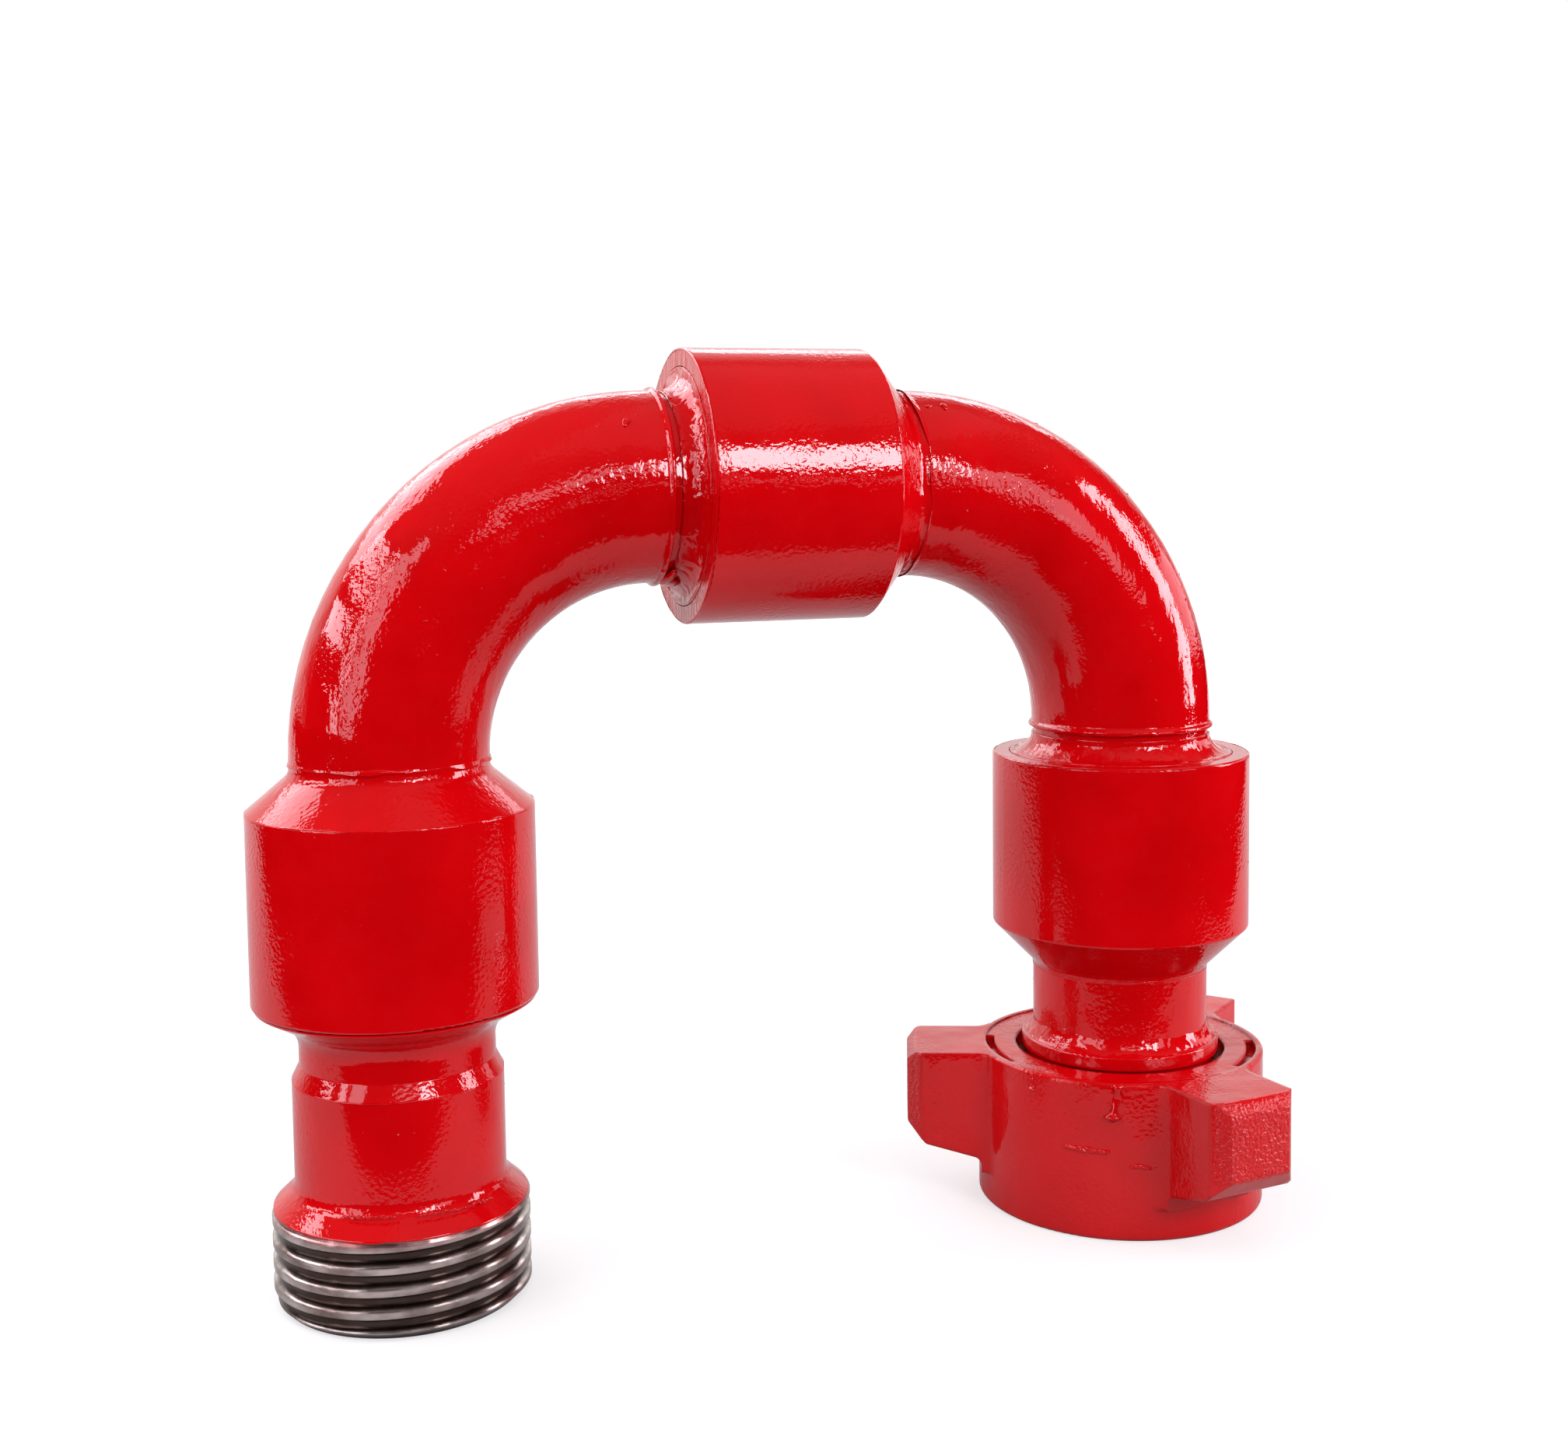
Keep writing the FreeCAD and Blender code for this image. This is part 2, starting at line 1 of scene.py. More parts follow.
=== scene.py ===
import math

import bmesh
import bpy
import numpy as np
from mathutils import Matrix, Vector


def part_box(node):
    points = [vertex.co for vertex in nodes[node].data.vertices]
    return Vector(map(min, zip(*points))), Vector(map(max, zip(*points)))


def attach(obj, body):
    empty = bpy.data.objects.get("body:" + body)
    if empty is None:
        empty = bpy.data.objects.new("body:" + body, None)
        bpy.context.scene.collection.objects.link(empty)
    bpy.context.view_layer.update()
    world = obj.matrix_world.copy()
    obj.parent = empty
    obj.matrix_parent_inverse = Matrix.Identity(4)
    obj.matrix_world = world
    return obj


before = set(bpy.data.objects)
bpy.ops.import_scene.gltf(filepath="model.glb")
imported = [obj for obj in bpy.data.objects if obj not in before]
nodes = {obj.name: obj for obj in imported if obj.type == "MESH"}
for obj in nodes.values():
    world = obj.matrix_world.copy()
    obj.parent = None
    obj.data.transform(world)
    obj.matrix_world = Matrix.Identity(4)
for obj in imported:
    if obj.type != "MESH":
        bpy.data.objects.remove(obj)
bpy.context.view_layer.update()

# %% [markdown]
# # A red pipe swivel in a white studio
# The imported model arrives as bodies and nodes in metres, Z up, with the threaded
# sub's axis at the origin. Everything below is dressed around it: finishes for
# the forgings, the small runs and lumps of paint that a sprayed casting carries,
# then the studio and the camera.

# %% [markdown]
# ## Sizes taken from the joint itself
# The axes and edges that the paint follows are read from the nodes' own boxes, so
# the trimmings stay on the metal if a size changes. The few radii that a box can't
# give are the ones the joint was drawn with.

# %% Sizes
MM = 0.001
barrel_low, barrel_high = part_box("wing_sub")
elbow_low, elbow_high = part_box("upper_elbow")
LEG_X = (barrel_low.x + barrel_high.x) / 2
BARREL_R = (barrel_high.x - barrel_low.x) / 2
RIGHT_FACE_Z = barrel_high.z
TOP_Z = elbow_high.z - BARREL_R
TOP_FACE_X = elbow_low.x
LEFT_FACE_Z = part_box("lower_elbow")[0].z
NUT_TOP_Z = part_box("wing_nut")[1].z
TUBE_R = 38.5 * MM
BEND_R = 103 * MM
BARREL_LEN = 75 * MM
CONE_LEN = 19 * MM
NUT_R = 62 * MM
BEND_Z = TOP_Z - BEND_R
RIGHT_BEND_X = TOP_FACE_X + BARREL_LEN + CONE_LEN
print("legs", round(LEG_X, 4), "barrel radius", round(BARREL_R, 4), "top axis", round(TOP_Z, 4))
print("bend", round(BEND_Z, 4), "nut top", round(NUT_TOP_Z, 4))

# %% [markdown]
# ## A small kit for shapes
# New pieces are grids of points worked out by numpy. One helper puts points in a
# mesh, another numbers the quads of a grid, with its ends joined if asked, and a
# third closes a tube of rings with a fan at each end.

# %% Helpers for shapes
def mesh_piece(name, vertices, faces, smooth=True):
    """A mesh object from arrays of points and faces, with its origin at the world's."""
    mesh = bpy.data.meshes.new(name)
    mesh.from_pydata(np.reshape(vertices, (-1, 3)).tolist(), [], faces)
    mesh.polygons.foreach_set("use_smooth", np.full(len(mesh.polygons), smooth))
    mesh.update()
    made = bpy.data.objects.new(name, mesh)
    bpy.context.scene.collection.objects.link(made)
    return made


def grid_faces(rows, columns, wrap_rows=False, wrap_columns=False):
    """Quads of a grid of points, numbered row by row; a wrapped side joins its end to its start."""
    row, column = np.meshgrid(np.arange(rows - (not wrap_rows)), np.arange(columns - (not wrap_columns)),
                              indexing="ij")
    next_row, next_column = (row + 1) % rows, (column + 1) % columns
    corners = (row * columns + column, row * columns + next_column,
               next_row * columns + next_column, next_row * columns + column)
    return np.stack([c.ravel() for c in corners], axis=1)


def closed_tube(points, start=0):
    """Vertices and faces of a stack of rings (rings, corners, 3) with a fan at each end."""
    rings, corners = points.shape[:2]
    corner = np.arange(corners)
    following = (corner + 1) % corners
    last = (rings - 1) * corners
    low = np.stack([np.full(corners, rings * corners), following, corner], axis=1) + start
    high = np.stack([np.full(corners, rings * corners + 1), last + corner, last + following], axis=1) + start
    faces = (grid_faces(rings, corners, wrap_columns=True) + start).tolist() + low.tolist() + high.tolist()
    ends = np.stack([points[0].mean(axis=0), points[-1].mean(axis=0)])
    return np.vstack([points.reshape(-1, 3), ends]), faces


print("shape helpers ready")

# %% [markdown]
# ## A small kit for finishes
# Blender's materials are graphs. These helpers lay the graph out in a few words,
# first of all a node with its settings and a noise read in Object coordinates.
# Those are in metres here, so a noise scale of 500 has features of about two
# millimetres. The noise is solid, which means that it runs through the metal like
# the grain of wood and needs no unwrapping.

# %% Helpers for patterns
def new_finish(name):
    """An empty material with its Principled shader: (material, tree, shader)."""
    material = bpy.data.materials.new(name)
    material.use_nodes = True
    tree = material.node_tree
    return material, tree, tree.nodes["Principled BSDF"]


def node(tree, kind, **settings):
    """A new node of this kind, with its settings."""
    made = tree.nodes.new(kind)
    for key, value in settings.items():
        setattr(made, key, value)
    return made


def place(tree, turn=(0, 0, 0), stretch=(1, 1, 1), shift=(0, 0, 0)):
    """Object coordinates, moved, turned and stretched by a Mapping node."""
    coordinates = node(tree, "ShaderNodeTexCoord")
    mapping = node(tree, "ShaderNodeMapping")
    mapping.inputs["Location"].default_value = shift
    mapping.inputs["Rotation"].default_value = turn
    mapping.inputs["Scale"].default_value = stretch
    tree.links.new(coordinates.outputs["Object"], mapping.inputs["Vector"])
    return mapping.outputs["Vector"]


def noise(tree, where, scale, detail=2.0, roughness=0.5, distortion=0.0):
    """Soft random clouds from 0 to 1, about 1 / scale metres apart; detail adds finer ones."""
    made = node(tree, "ShaderNodeTexNoise")
    made.inputs["Scale"].default_value = scale
    made.inputs["Detail"].default_value = detail
    made.inputs["Roughness"].default_value = roughness
    made.inputs["Distortion"].default_value = distortion
    tree.links.new(where, made.inputs["Vector"])
    return made.outputs["Fac"]


print("pattern helpers ready")

# %% [markdown]
# ### Numbers, colours and relief
# A pattern is only a number at each point. Map Range stretches it, Math joins two
# of them, Mix turns it into a colour between two others, and Bump leans the light
# as if the skin went up and down with it. Bumps are chained by their Normal
# sockets, so a fine one can lie on a coarse one.

# %% Helpers for numbers, colours and relief
def remap(tree, value, low, high, out_low=0.0, out_high=1.0, smooth=True):
    """Values from low to high become out_low to out_high, with soft ends unless smooth is off."""
    made = node(tree, "ShaderNodeMapRange", interpolation_type="SMOOTHSTEP" if smooth else "LINEAR")
    for name, number in (("From Min", low), ("From Max", high), ("To Min", out_low), ("To Max", out_high)):
        made.inputs[name].default_value = number
    tree.links.new(value, made.inputs["Value"])
    return made.outputs["Result"]


def math_of(tree, operation, first, second=None):
    """One operation of a Math node, on sockets or plain numbers."""
    made = node(tree, "ShaderNodeMath", operation=operation)
    for socket, value in zip(made.inputs, (first, second)):
        if isinstance(value, (int, float)):
            socket.default_value = value
        elif value is not None:
            tree.links.new(value, socket)
    return made.outputs["Value"]


def blend_colours(tree, share, first, second):
    """The first colour where the share is 0, the second where it is 1."""
    made = node(tree, "ShaderNodeMix", data_type="RGBA")
    for socket, value in ((made.inputs[0], share), (made.inputs[6], first), (made.inputs[7], second)):
        if isinstance(value, tuple):
            socket.default_value = (*value, 1.0)
        elif isinstance(value, (int, float)):
            socket.default_value = value
        else:
            tree.links.new(value, socket)
    return made.outputs[2]


def bump(tree, height, depth, normal=None):
    """Height in 0 to 1 becomes a relief of this depth in metres, on top of another normal."""
    made = node(tree, "ShaderNodeBump")
    made.inputs["Strength"].default_value = 1.0
    made.inputs["Distance"].default_value = depth
    tree.links.new(height, made.inputs["Height"])
    if normal is not None:
        tree.links.new(normal, made.inputs["Normal"])
    return made.outputs["Normal"]


print("relief helpers ready")

# %% [markdown]
# ## The red enamel
# The forgings are sprayed with one heavy coat of glossy red. Its colour hardly
# changes, so nearly all that the eye sees is the relief of the coat. Masks say
# where a kind of relief belongs: the steel is rough where it was left as forged
# and even where it was turned. A mask is a band between two heights on an axis,
# which is simpler than painting one, and it follows the sizes given above.

# %% Enamel colour and masks
RED = (0.51, 0.0006, 0.0024)
RED_DEEP = (0.44, 0.0003, 0.0015)


def enamel_colour(tree):
    """Pigment settles unevenly, so the red shifts a little over a few centimetres."""
    cloud = noise(tree, place(tree), 22.0, 3.0)
    return blend_colours(tree, remap(tree, cloud, 0.35, 0.7), RED, RED_DEEP)


def band(tree, axis, low, high, soft):
    """1 between two heights along an axis and 0 outside, with soft ends."""
    split = node(tree, "ShaderNodeSeparateXYZ")
    tree.links.new(place(tree), split.inputs[0])
    rise = remap(tree, split.outputs[axis], low - soft, low + soft)
    fall = remap(tree, split.outputs[axis], high - soft, high + soft, 1.0, 0.0)
    return math_of(tree, "MULTIPLY", rise, fall)


def masked(tree, height, mask):
    """The height where the mask is 1, and a flat middle value where it is 0."""
    return math_of(tree, "ADD", math_of(tree, "MULTIPLY", math_of(tree, "SUBTRACT", height, 0.5), mask), 0.5)


print("reds", RED, RED_DEEP)

# %% [markdown]
# ### The relief of the coat
# Up close a heavy coat has orange peel: soft dimples a millimetre or two apart
# that break the edge of every reflection into little teeth. Forged steel waves
# over a centimetre or two below it, the spray lies in slanting strokes, and in
# the inside corners beside the barrels the thick paint has wrinkled. All of it is
# bump: noises of different sizes, one on another, the finest of them in patches.

# %% Enamel relief
WAVE_DEPTH = 0.8 * MM
STROKE_DEPTH = 0.16 * MM
WRINKLE_DEPTH = 1.0 * MM
RIDGE_DEPTH = 0.5 * MM
PEEL_DEPTH = 0.16 * MM
PEEL_SCALE = 600.0


def soft_edges(tree, radius):
    """Paint draws back from an edge and leaves it round; this bends the normals over that width."""
    made = node(tree, "ShaderNodeBevel", samples=6)
    made.inputs["Radius"].default_value = radius
    return made.outputs["Normal"]


def enamel_relief(tree, forged, corners=None, ridges=None, peel=1.0, strokes=1.0, lean=38.0, edge=None):
    """Orange peel over slanting strokes over slow waves, with wrinkles in the inside corners and ridges on
    turned faces. peel and strokes scale their depths, lean tilts the strokes, and edge is the width over
    which the metal's edges look round."""
    slow = bump(tree, masked(tree, noise(tree, place(tree), 60.0, 1.0), forged), WAVE_DEPTH,
                soft_edges(tree, edge) if edge else None)
    slanted = place(tree, turn=(0.0, math.radians(lean), 0.0), stretch=(1.0, 1.0, 0.3))
    lines = masked(tree, noise(tree, slanted, 300.0, 1.5, 0.4), forged)
    relief = bump(tree, lines, STROKE_DEPTH * strokes, slow)
    if corners is not None:
        wrinkles = noise(tree, place(tree), 150.0, 1.0, 0.5, 0.6)
        relief = bump(tree, masked(tree, wrinkles, corners), WRINKLE_DEPTH, relief)
    if ridges is not None:
        lines = noise(tree, place(tree, stretch=(1.0, 1.0, 0.15)), 420.0, 1.0, 0.5, 0.8)
        relief = bump(tree, masked(tree, lines, ridges), RIDGE_DEPTH, relief)
    patches = remap(tree, noise(tree, place(tree), 38.0, 1.0), 0.38, 0.62, 0.35, 1.25)
    fine = masked(tree, noise(tree, place(tree), PEEL_SCALE, 1.5, 0.45), patches)
    return bump(tree, fine, PEEL_DEPTH * peel, relief)


print("peel", round(1000 / PEEL_SCALE, 2), "mm apart")

# %% [markdown]
# ### One enamel for each forging
# Each forging was turned and left rough in other places, so each gets its own
# material from one function that is told its bands. The elbows are one forging
# used twice, but the barrel of the first stands and that of the second lies level,
# so their bands differ.

# %% Enamel materials
PAINT_IOR = 1.48
TURNED_WAVES = 0.06
FAR = 1.0


def red_enamel(name, forged_bands=(), corner_bands=(), ridge_bands=(), **relief):
    """Glossy red. Bands are (axis, low, high) in metres: where the skin is as forged, where the paint
    wrinkled, with how much as a fourth value, and where a turned face keeps its ridges."""
    material, tree, shader = new_finish(name)
    tree.links.new(enamel_colour(tree), shader.inputs["Base Color"])
    patches = noise(tree, place(tree), 130.0, 3.0)
    tree.links.new(remap(tree, patches, 0.3, 0.75, 0.045, 0.09), shader.inputs["Roughness"])
    shader.inputs["IOR"].default_value = PAINT_IOR
    forged = TURNED_WAVES
    for axis, low, high in forged_bands:
        forged = math_of(tree, "MAXIMUM", band(tree, axis, low, high, 4 * MM), forged)
    corners = None
    for axis, low, high, amount in corner_bands:
        spot = math_of(tree, "MULTIPLY", band(tree, axis, low, high, 2 * MM), amount)
        corners = spot if corners is None else math_of(tree, "MAXIMUM", corners, spot)
    ridges = None
    for axis, low, high in ridge_bands:
        ridges = band(tree, axis, low, high, 0.2 * MM)
    tree.links.new(enamel_relief(tree, forged, corners, ridges, **relief), shader.inputs["Normal"])
    return material


BARREL_TOP_Z = LEFT_FACE_Z + BARREL_LEN
BARREL_END_X = TOP_FACE_X + BARREL_LEN
enamel = red_enamel("glossy_red_enamel")
enamel_first = red_enamel("glossy_red_enamel_on_first_elbow",
                          forged_bands=[(2, BARREL_TOP_Z + 8 * MM, FAR)],
                          corner_bands=[(0, TOP_FACE_X - 9 * MM, TOP_FACE_X + 2 * MM, 0.9),
                                        (2, BARREL_TOP_Z + 3 * MM, BARREL_TOP_Z + 16 * MM, 0.22)])
enamel_second = red_enamel("glossy_red_enamel_on_second_elbow",
                           forged_bands=[(0, BARREL_END_X + 8 * MM, FAR)],
                           corner_bands=[(2, RIGHT_FACE_Z - 2 * MM, RIGHT_FACE_Z + 9 * MM, 0.6),
                                         (0, BARREL_END_X + 2 * MM, BARREL_END_X + 16 * MM, 0.5)],
                           ridge_bands=[(0, TOP_FACE_X - 1 * MM, TOP_FACE_X + 0.4 * MM)], lean=-38.0)
enamel_wing = red_enamel("glossy_red_enamel_on_wing_sub",
                         forged_bands=[(2, -FAR, RIGHT_FACE_Z - BARREL_LEN - 14 * MM)],
                         corner_bands=[(2, 66 * MM, 76 * MM, 0.3)], strokes=0.4)
enamel_wrinkled = red_enamel("wrinkled_red_enamel", corner_bands=[(1, -FAR, FAR, 0.9)])
print("enamel finishes", enamel.name, enamel_first.name, enamel_second.name, enamel_wing.name)

# %% [markdown]
# ## The cast nut
# The nut is cast and rougher than the forgings, and its edges are softer. A Bevel
# node rounds them in the shading, which leaves the solid as it is. The ends of the
# lugs are hammered every time the union is made up, so there the skin is beaten
# rough. The mask for those faces is the distance from the nut's axis: only the
# lugs reach so far out. Their lower chamfer lies below the mask's height.

# %% Cast enamel
LUG_FACE_R = 90.5 * MM
LUG_EDGE_Z = 33.5 * MM
CAST_EDGE = 2.4 * MM
BEATEN_DEPTH = 1.3 * MM


def from_axis(tree, axis_x):
    """Distance from an upright axis, and the height, as sockets."""
    split = node(tree, "ShaderNodeSeparateXYZ")
    tree.links.new(place(tree, shift=(-axis_x, 0.0, 0.0)), split.inputs[0])
    square = math_of(tree, "ADD", math_of(tree, "MULTIPLY", split.outputs[0], split.outputs[0]),
                     math_of(tree, "MULTIPLY", split.outputs[1], split.outputs[1]))
    return math_of(tree, "SQRT", square), split.outputs[2]


def cast_enamel():
    """The enamel over rougher waves and rounded edges, beaten and duller on the ends of the lugs."""
    material, tree, shader = new_finish("glossy_red_enamel_on_casting")
    tree.links.new(enamel_colour(tree), shader.inputs["Base Color"])
    shader.inputs["IOR"].default_value = PAINT_IOR
    distance, height = from_axis(tree, LEG_X)
    beaten = math_of(tree, "MULTIPLY", remap(tree, distance, LUG_FACE_R, LUG_FACE_R + 1.5 * MM),
                     remap(tree, height, LUG_EDGE_Z, LUG_EDGE_Z + 2.0 * MM))
    tree.links.new(remap(tree, beaten, 0.0, 1.0, 0.06, 0.13), shader.inputs["Roughness"])
    skin = enamel_relief(tree, 1.0, peel=1.2, strokes=0.5, edge=CAST_EDGE)
    dents = noise(tree, place(tree), 620.0, 2.0, 0.5)
    tree.links.new(bump(tree, masked(tree, dents, beaten), BEATEN_DEPTH, skin), shader.inputs["Normal"])
    return material


enamel_nut = cast_enamel()
print("cast enamel", enamel_nut.name)

# %% [markdown]
# ## The threaded sub: enamel above, bare turned steel below
# One forging carries both, so one material changes with height. The masked edge
# isn't a clean line: the paint crept a little way under the tape here and there,
# and a pink haze of overspray fades out below it. The steel below is turned, so
# very fine rings run round the axis. The thread's roots are painted dark brown as
# painted shade, and the distance from the axis tells them apart from the crests.

# %% Enamel and thread
PAINT_EDGE_Z = 37.6 * MM
THREAD_R = 50.0 * MM
THREAD_EDGE = 1.5 * MM
CREST_LIGHT, CREST_DARK = (0.70, 0.62, 0.58), (0.24, 0.18, 0.16)
# painted shade: the dark brown laid into the thread's roots
ROOT_PAINTED_SHADE = (0.045, 0.026, 0.02)
OVERSPRAY = (0.50, 0.08, 0.09)


def rings_round_axis(tree, scale, axis_x=0.0):
    """Fine lathe marks: a noise read at the distance from the axis and the height."""
    distance, height = from_axis(tree, axis_x)
    joined = node(tree, "ShaderNodeCombineXYZ")
    tree.links.new(distance, joined.inputs[0])
    tree.links.new(height, joined.inputs[2])
    return noise(tree, joined.outputs[0], scale, 3.0, 0.7)


def painted_thread():
    """Enamel above the paint's edge, steel below it: colour, metal, roughness and relief all change there."""
    material, tree, shader = new_finish("enamel_over_bare_thread")
    distance, level = from_axis(tree, 0.0)
    uneven = math_of(tree, "SUBTRACT", noise(tree, place(tree), 60.0, 3.0), 0.5)
    height = math_of(tree, "ADD", level, math_of(tree, "MULTIPLY", uneven, 2.4 * MM))
    painted = remap(tree, height, PAINT_EDGE_Z - 0.25 * MM, PAINT_EDGE_Z + 0.25 * MM)
    haze = remap(tree, height, PAINT_EDGE_Z - 4.0 * MM, PAINT_EDGE_Z, 0.0, 0.5)
    stain = noise(tree, place(tree, stretch=(1, 1, 2.2)), 45.0, 4.0, 0.6)
    crest = blend_colours(tree, remap(tree, stain, 0.35, 0.7), CREST_LIGHT, CREST_DARK)
    # painted shade: the roots, nearer the axis than the crests, turn dark brown
    root_shade_mask = remap(tree, distance, THREAD_R - 2.6 * MM, THREAD_R - 0.3 * MM, 0.95, 0.0)
    steel = blend_colours(tree, root_shade_mask, crest, ROOT_PAINTED_SHADE)
    hazed = blend_colours(tree, haze, steel, OVERSPRAY)
    tree.links.new(blend_colours(tree, painted, hazed, enamel_colour(tree)), shader.inputs["Base Color"])
    tree.links.new(remap(tree, painted, 0.0, 1.0, 1.0, 0.0, smooth=False), shader.inputs["Metallic"])
    worn = remap(tree, noise(tree, place(tree), 260.0, 3.0), 0.3, 0.7, 0.10, 0.22)
    both = node(tree, "ShaderNodeMix", data_type="FLOAT")
    tree.links.new(painted, both.inputs[0])
    tree.links.new(worn, both.inputs[2])
    both.inputs[3].default_value = 0.07
    tree.links.new(both.outputs[0], shader.inputs["Roughness"])
    shader.inputs["IOR"].default_value = PAINT_IOR
    corners = math_of(tree, "MULTIPLY", band(tree, 2, 40 * MM, 51 * MM, 2 * MM), 0.25)
    steel_skin = bump(tree, rings_round_axis(tree, 1600.0), 0.012 * MM, soft_edges(tree, THREAD_EDGE))
    paint_skin = enamel_relief(tree, 0.15, corners, peel=0.9, strokes=0.3)
    skin = node(tree, "ShaderNodeMix", data_type="VECTOR")
    tree.links.new(painted, skin.inputs[0])
    tree.links.new(steel_skin, skin.inputs[4])
    tree.links.new(paint_skin, skin.inputs[5])
    tree.links.new(bump(tree, painted, 0.25 * MM, skin.outputs[1]), shader.inputs["Normal"])
    return material


thread_finish = painted_thread()
print("thread finish", thread_finish.name)

# %% [markdown]
# ## Metals and rubber inside
# Little of these shows, but the pieces are there for whoever takes the part
# apart: hardened balls, a brass backup ring, black lip seals, a dark spring ring,
# zinc-plated grease fittings and the segments that hold the nut. One function
# makes every bare metal from two tones, a roughness and a grain.

# %% Inner finishes
def metal(name, light, dark, rough, ring_scale=0.0, axis_x=0.0, grain=0.015):
    """Bare metal: two tones mixed by a cloud, roughness that varies, and fine relief."""
    material, tree, shader = new_finish(name)
    cloud = noise(tree, place(tree), 160.0, 4.0, 0.6)
    tone = blend_colours(tree, remap(tree, cloud, 0.35, 0.7), light, dark)
    tree.links.new(tone, shader.inputs["Base Color"])
    shader.inputs["Metallic"].default_value = 1.0
    tree.links.new(remap(tree, cloud, 0.3, 0.7, rough, rough + 0.14), shader.inputs["Roughness"])
    fine = rings_round_axis(tree, ring_scale, axis_x) if ring_scale else noise(tree, place(tree), 1500.0, 2.0)
    tree.links.new(bump(tree, fine, grain * MM), shader.inputs["Normal"])
    return material


def rubber():
    """Black rubber with a little grey dust, which also dulls it."""
    material, tree, shader = new_finish("moulded_black_rubber")
    dust = noise(tree, place(tree), 420.0, 4.0, 0.6)
    tone = blend_colours(tree, remap(tree, dust, 0.45, 0.8), (0.018, 0.018, 0.019), (0.05, 0.048, 0.046))
    tree.links.new(tone, shader.inputs["Base Color"])
    tree.links.new(remap(tree, dust, 0.3, 0.7, 0.42, 0.6), shader.inputs["Roughness"])
    tree.links.new(bump(tree, noise(tree, place(tree), 2200.0, 2.0), 0.02 * MM), shader.inputs["Normal"])
    return material


black_rubber = rubber()
ball_steel = metal("polished_ball_steel", (0.74, 0.74, 0.75), (0.62, 0.62, 0.64), 0.08, grain=0.002)
turned_steel = metal("turned_steel", (0.52, 0.49, 0.46), (0.36, 0.33, 0.30), 0.28, 1500.0, LEG_X)
spring_steel = metal("dark_spring_steel", (0.17, 0.16, 0.16), (0.09, 0.085, 0.085), 0.33)
brass = metal("turned_brass", (0.72, 0.52, 0.24), (0.55, 0.37, 0.15), 0.25)
zinc = metal("zinc_plate", (0.70, 0.68, 0.60), (0.55, 0.53, 0.45), 0.24)

FINISHES = {"wing_nut": enamel_nut, "thread_sub": thread_finish, "union_seal": black_rubber,
            "lower_elbow": enamel_first, "upper_elbow": enamel_second, "wing_sub": enamel_wing,
            "nut_segments": turned_steel, "nut_snap_ring": spring_steel}
INNER = {"ball_rows": ball_steel, "packing_ring": black_rubber, "backup_ring": brass,
         "dust_seal": black_rubber, "ball_plugs": enamel, "grease_fitting": zinc}
for name, piece in nodes.items():
    finish = FINISHES.get(name, enamel)
    for ending, inner in INNER.items():
        if name.endswith(ending):
            finish = inner
    piece.data.materials.clear()
    piece.data.materials.append(finish)
print("finished", len(nodes), "nodes")

# %% [markdown]
# ## Runs, beads and lumps of paint
# Heavy enamel creeps before it dries. It piles up as a ragged bead wherever the
# form has an inside corner or a rim, hangs as drips under the nut's edge, and
# catches grit as small specks. A bump map can't change an outline or throw a
# highlight of its own, so these are thin shells of real geometry, half sunk in
# the metal, and they ride on the body that they are painted on.

# %% Frames to place the paint by
# A frame is an origin on an axis and three directions: two across the axis and one along it.
# The swivels' origins are their mouths and the axes run into the barrels; the feet stand on the floor.
SWIVELS = {
    "left": (np.array([0.0, 0.0, LEFT_FACE_Z]), np.array([[1.0, 0, 0], [0, 1.0, 0], [0, 0, 1.0]])),
    "top": (np.array([TOP_FACE_X, 0.0, TOP_Z]), np.array([[0, 0, 1.0], [0, 1.0, 0], [1.0, 0, 0]])),
    "right": (np.array([LEG_X, 0.0, RIGHT_FACE_Z]), np.array([[-1.0, 0, 0], [0, 1.0, 0], [0, 0, -1.0]])),
    "foot": (np.array([LEG_X, 0.0, 0.0]), np.array([[1.0, 0, 0], [0, 1.0, 0], [0, 0, 1.0]])),
    "thread": (np.array([0.0, 0.0, 0.0]), np.array([[1.0, 0, 0], [0, 1.0, 0], [0, 0, 1.0]])),
}


def around(swivel, radius, angle, depth):
    """Point = origin + radius (cos angle * across + sin angle * side) + depth * axis, as arrays."""
    mouth, (across, side, axis) = SWIVELS[swivel]
    radius, angle, depth = np.broadcast_arrays(radius, angle, depth)
    return (mouth + (radius * np.cos(angle))[..., None] * across + (radius * np.sin(angle))[..., None] * side
            + depth[..., None] * axis)


def wander(angle, seed, waves=(3, 5, 8, 13, 21, 34), fall=0.75):
    """A closed wavy line round a circle: a sum of sines with seeded phases, scaled to about -1 to 1.
    Each next sine has more waves and fall times the height."""
    draw = np.random.default_rng(seed)
    total = np.zeros_like(angle)
    for order, count in enumerate(waves):
        total = total + fall ** order * np.sin(count * angle + draw.uniform(0, 2 * np.pi))
    return total / sum(fall ** order for order in range(len(waves)))


def paint_ready(piece, body, finish=None):
    """Turn the faces outwards, dress the piece and set it on its body."""
    work = bmesh.new()
    work.from_mesh(piece.data)
    bmesh.ops.recalc_face_normals(work, faces=work.faces[:])
    work.to_mesh(piece.data)
    work.free()
    piece.data.materials.append(finish or enamel)
    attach(piece, body)
    return piece


print("frames", list(SWIVELS))

# %% [markdown]
# ### Ragged beads
# A bead is a thin flattened ring: its section is an ellipse, whose height and
# width wander round the ring. Where the height wanders below nothing the bead
# thins out under the surface, so one closed ring reads as broken dashes of paint.
# A curve with a round bevel would be quicker, but its section couldn't wander.

# %% Beads
BEAD_TURNS = 420
BEAD_SIDES = 14
BEAD_LEAST = 0.03
SUNK = 0.05 * MM


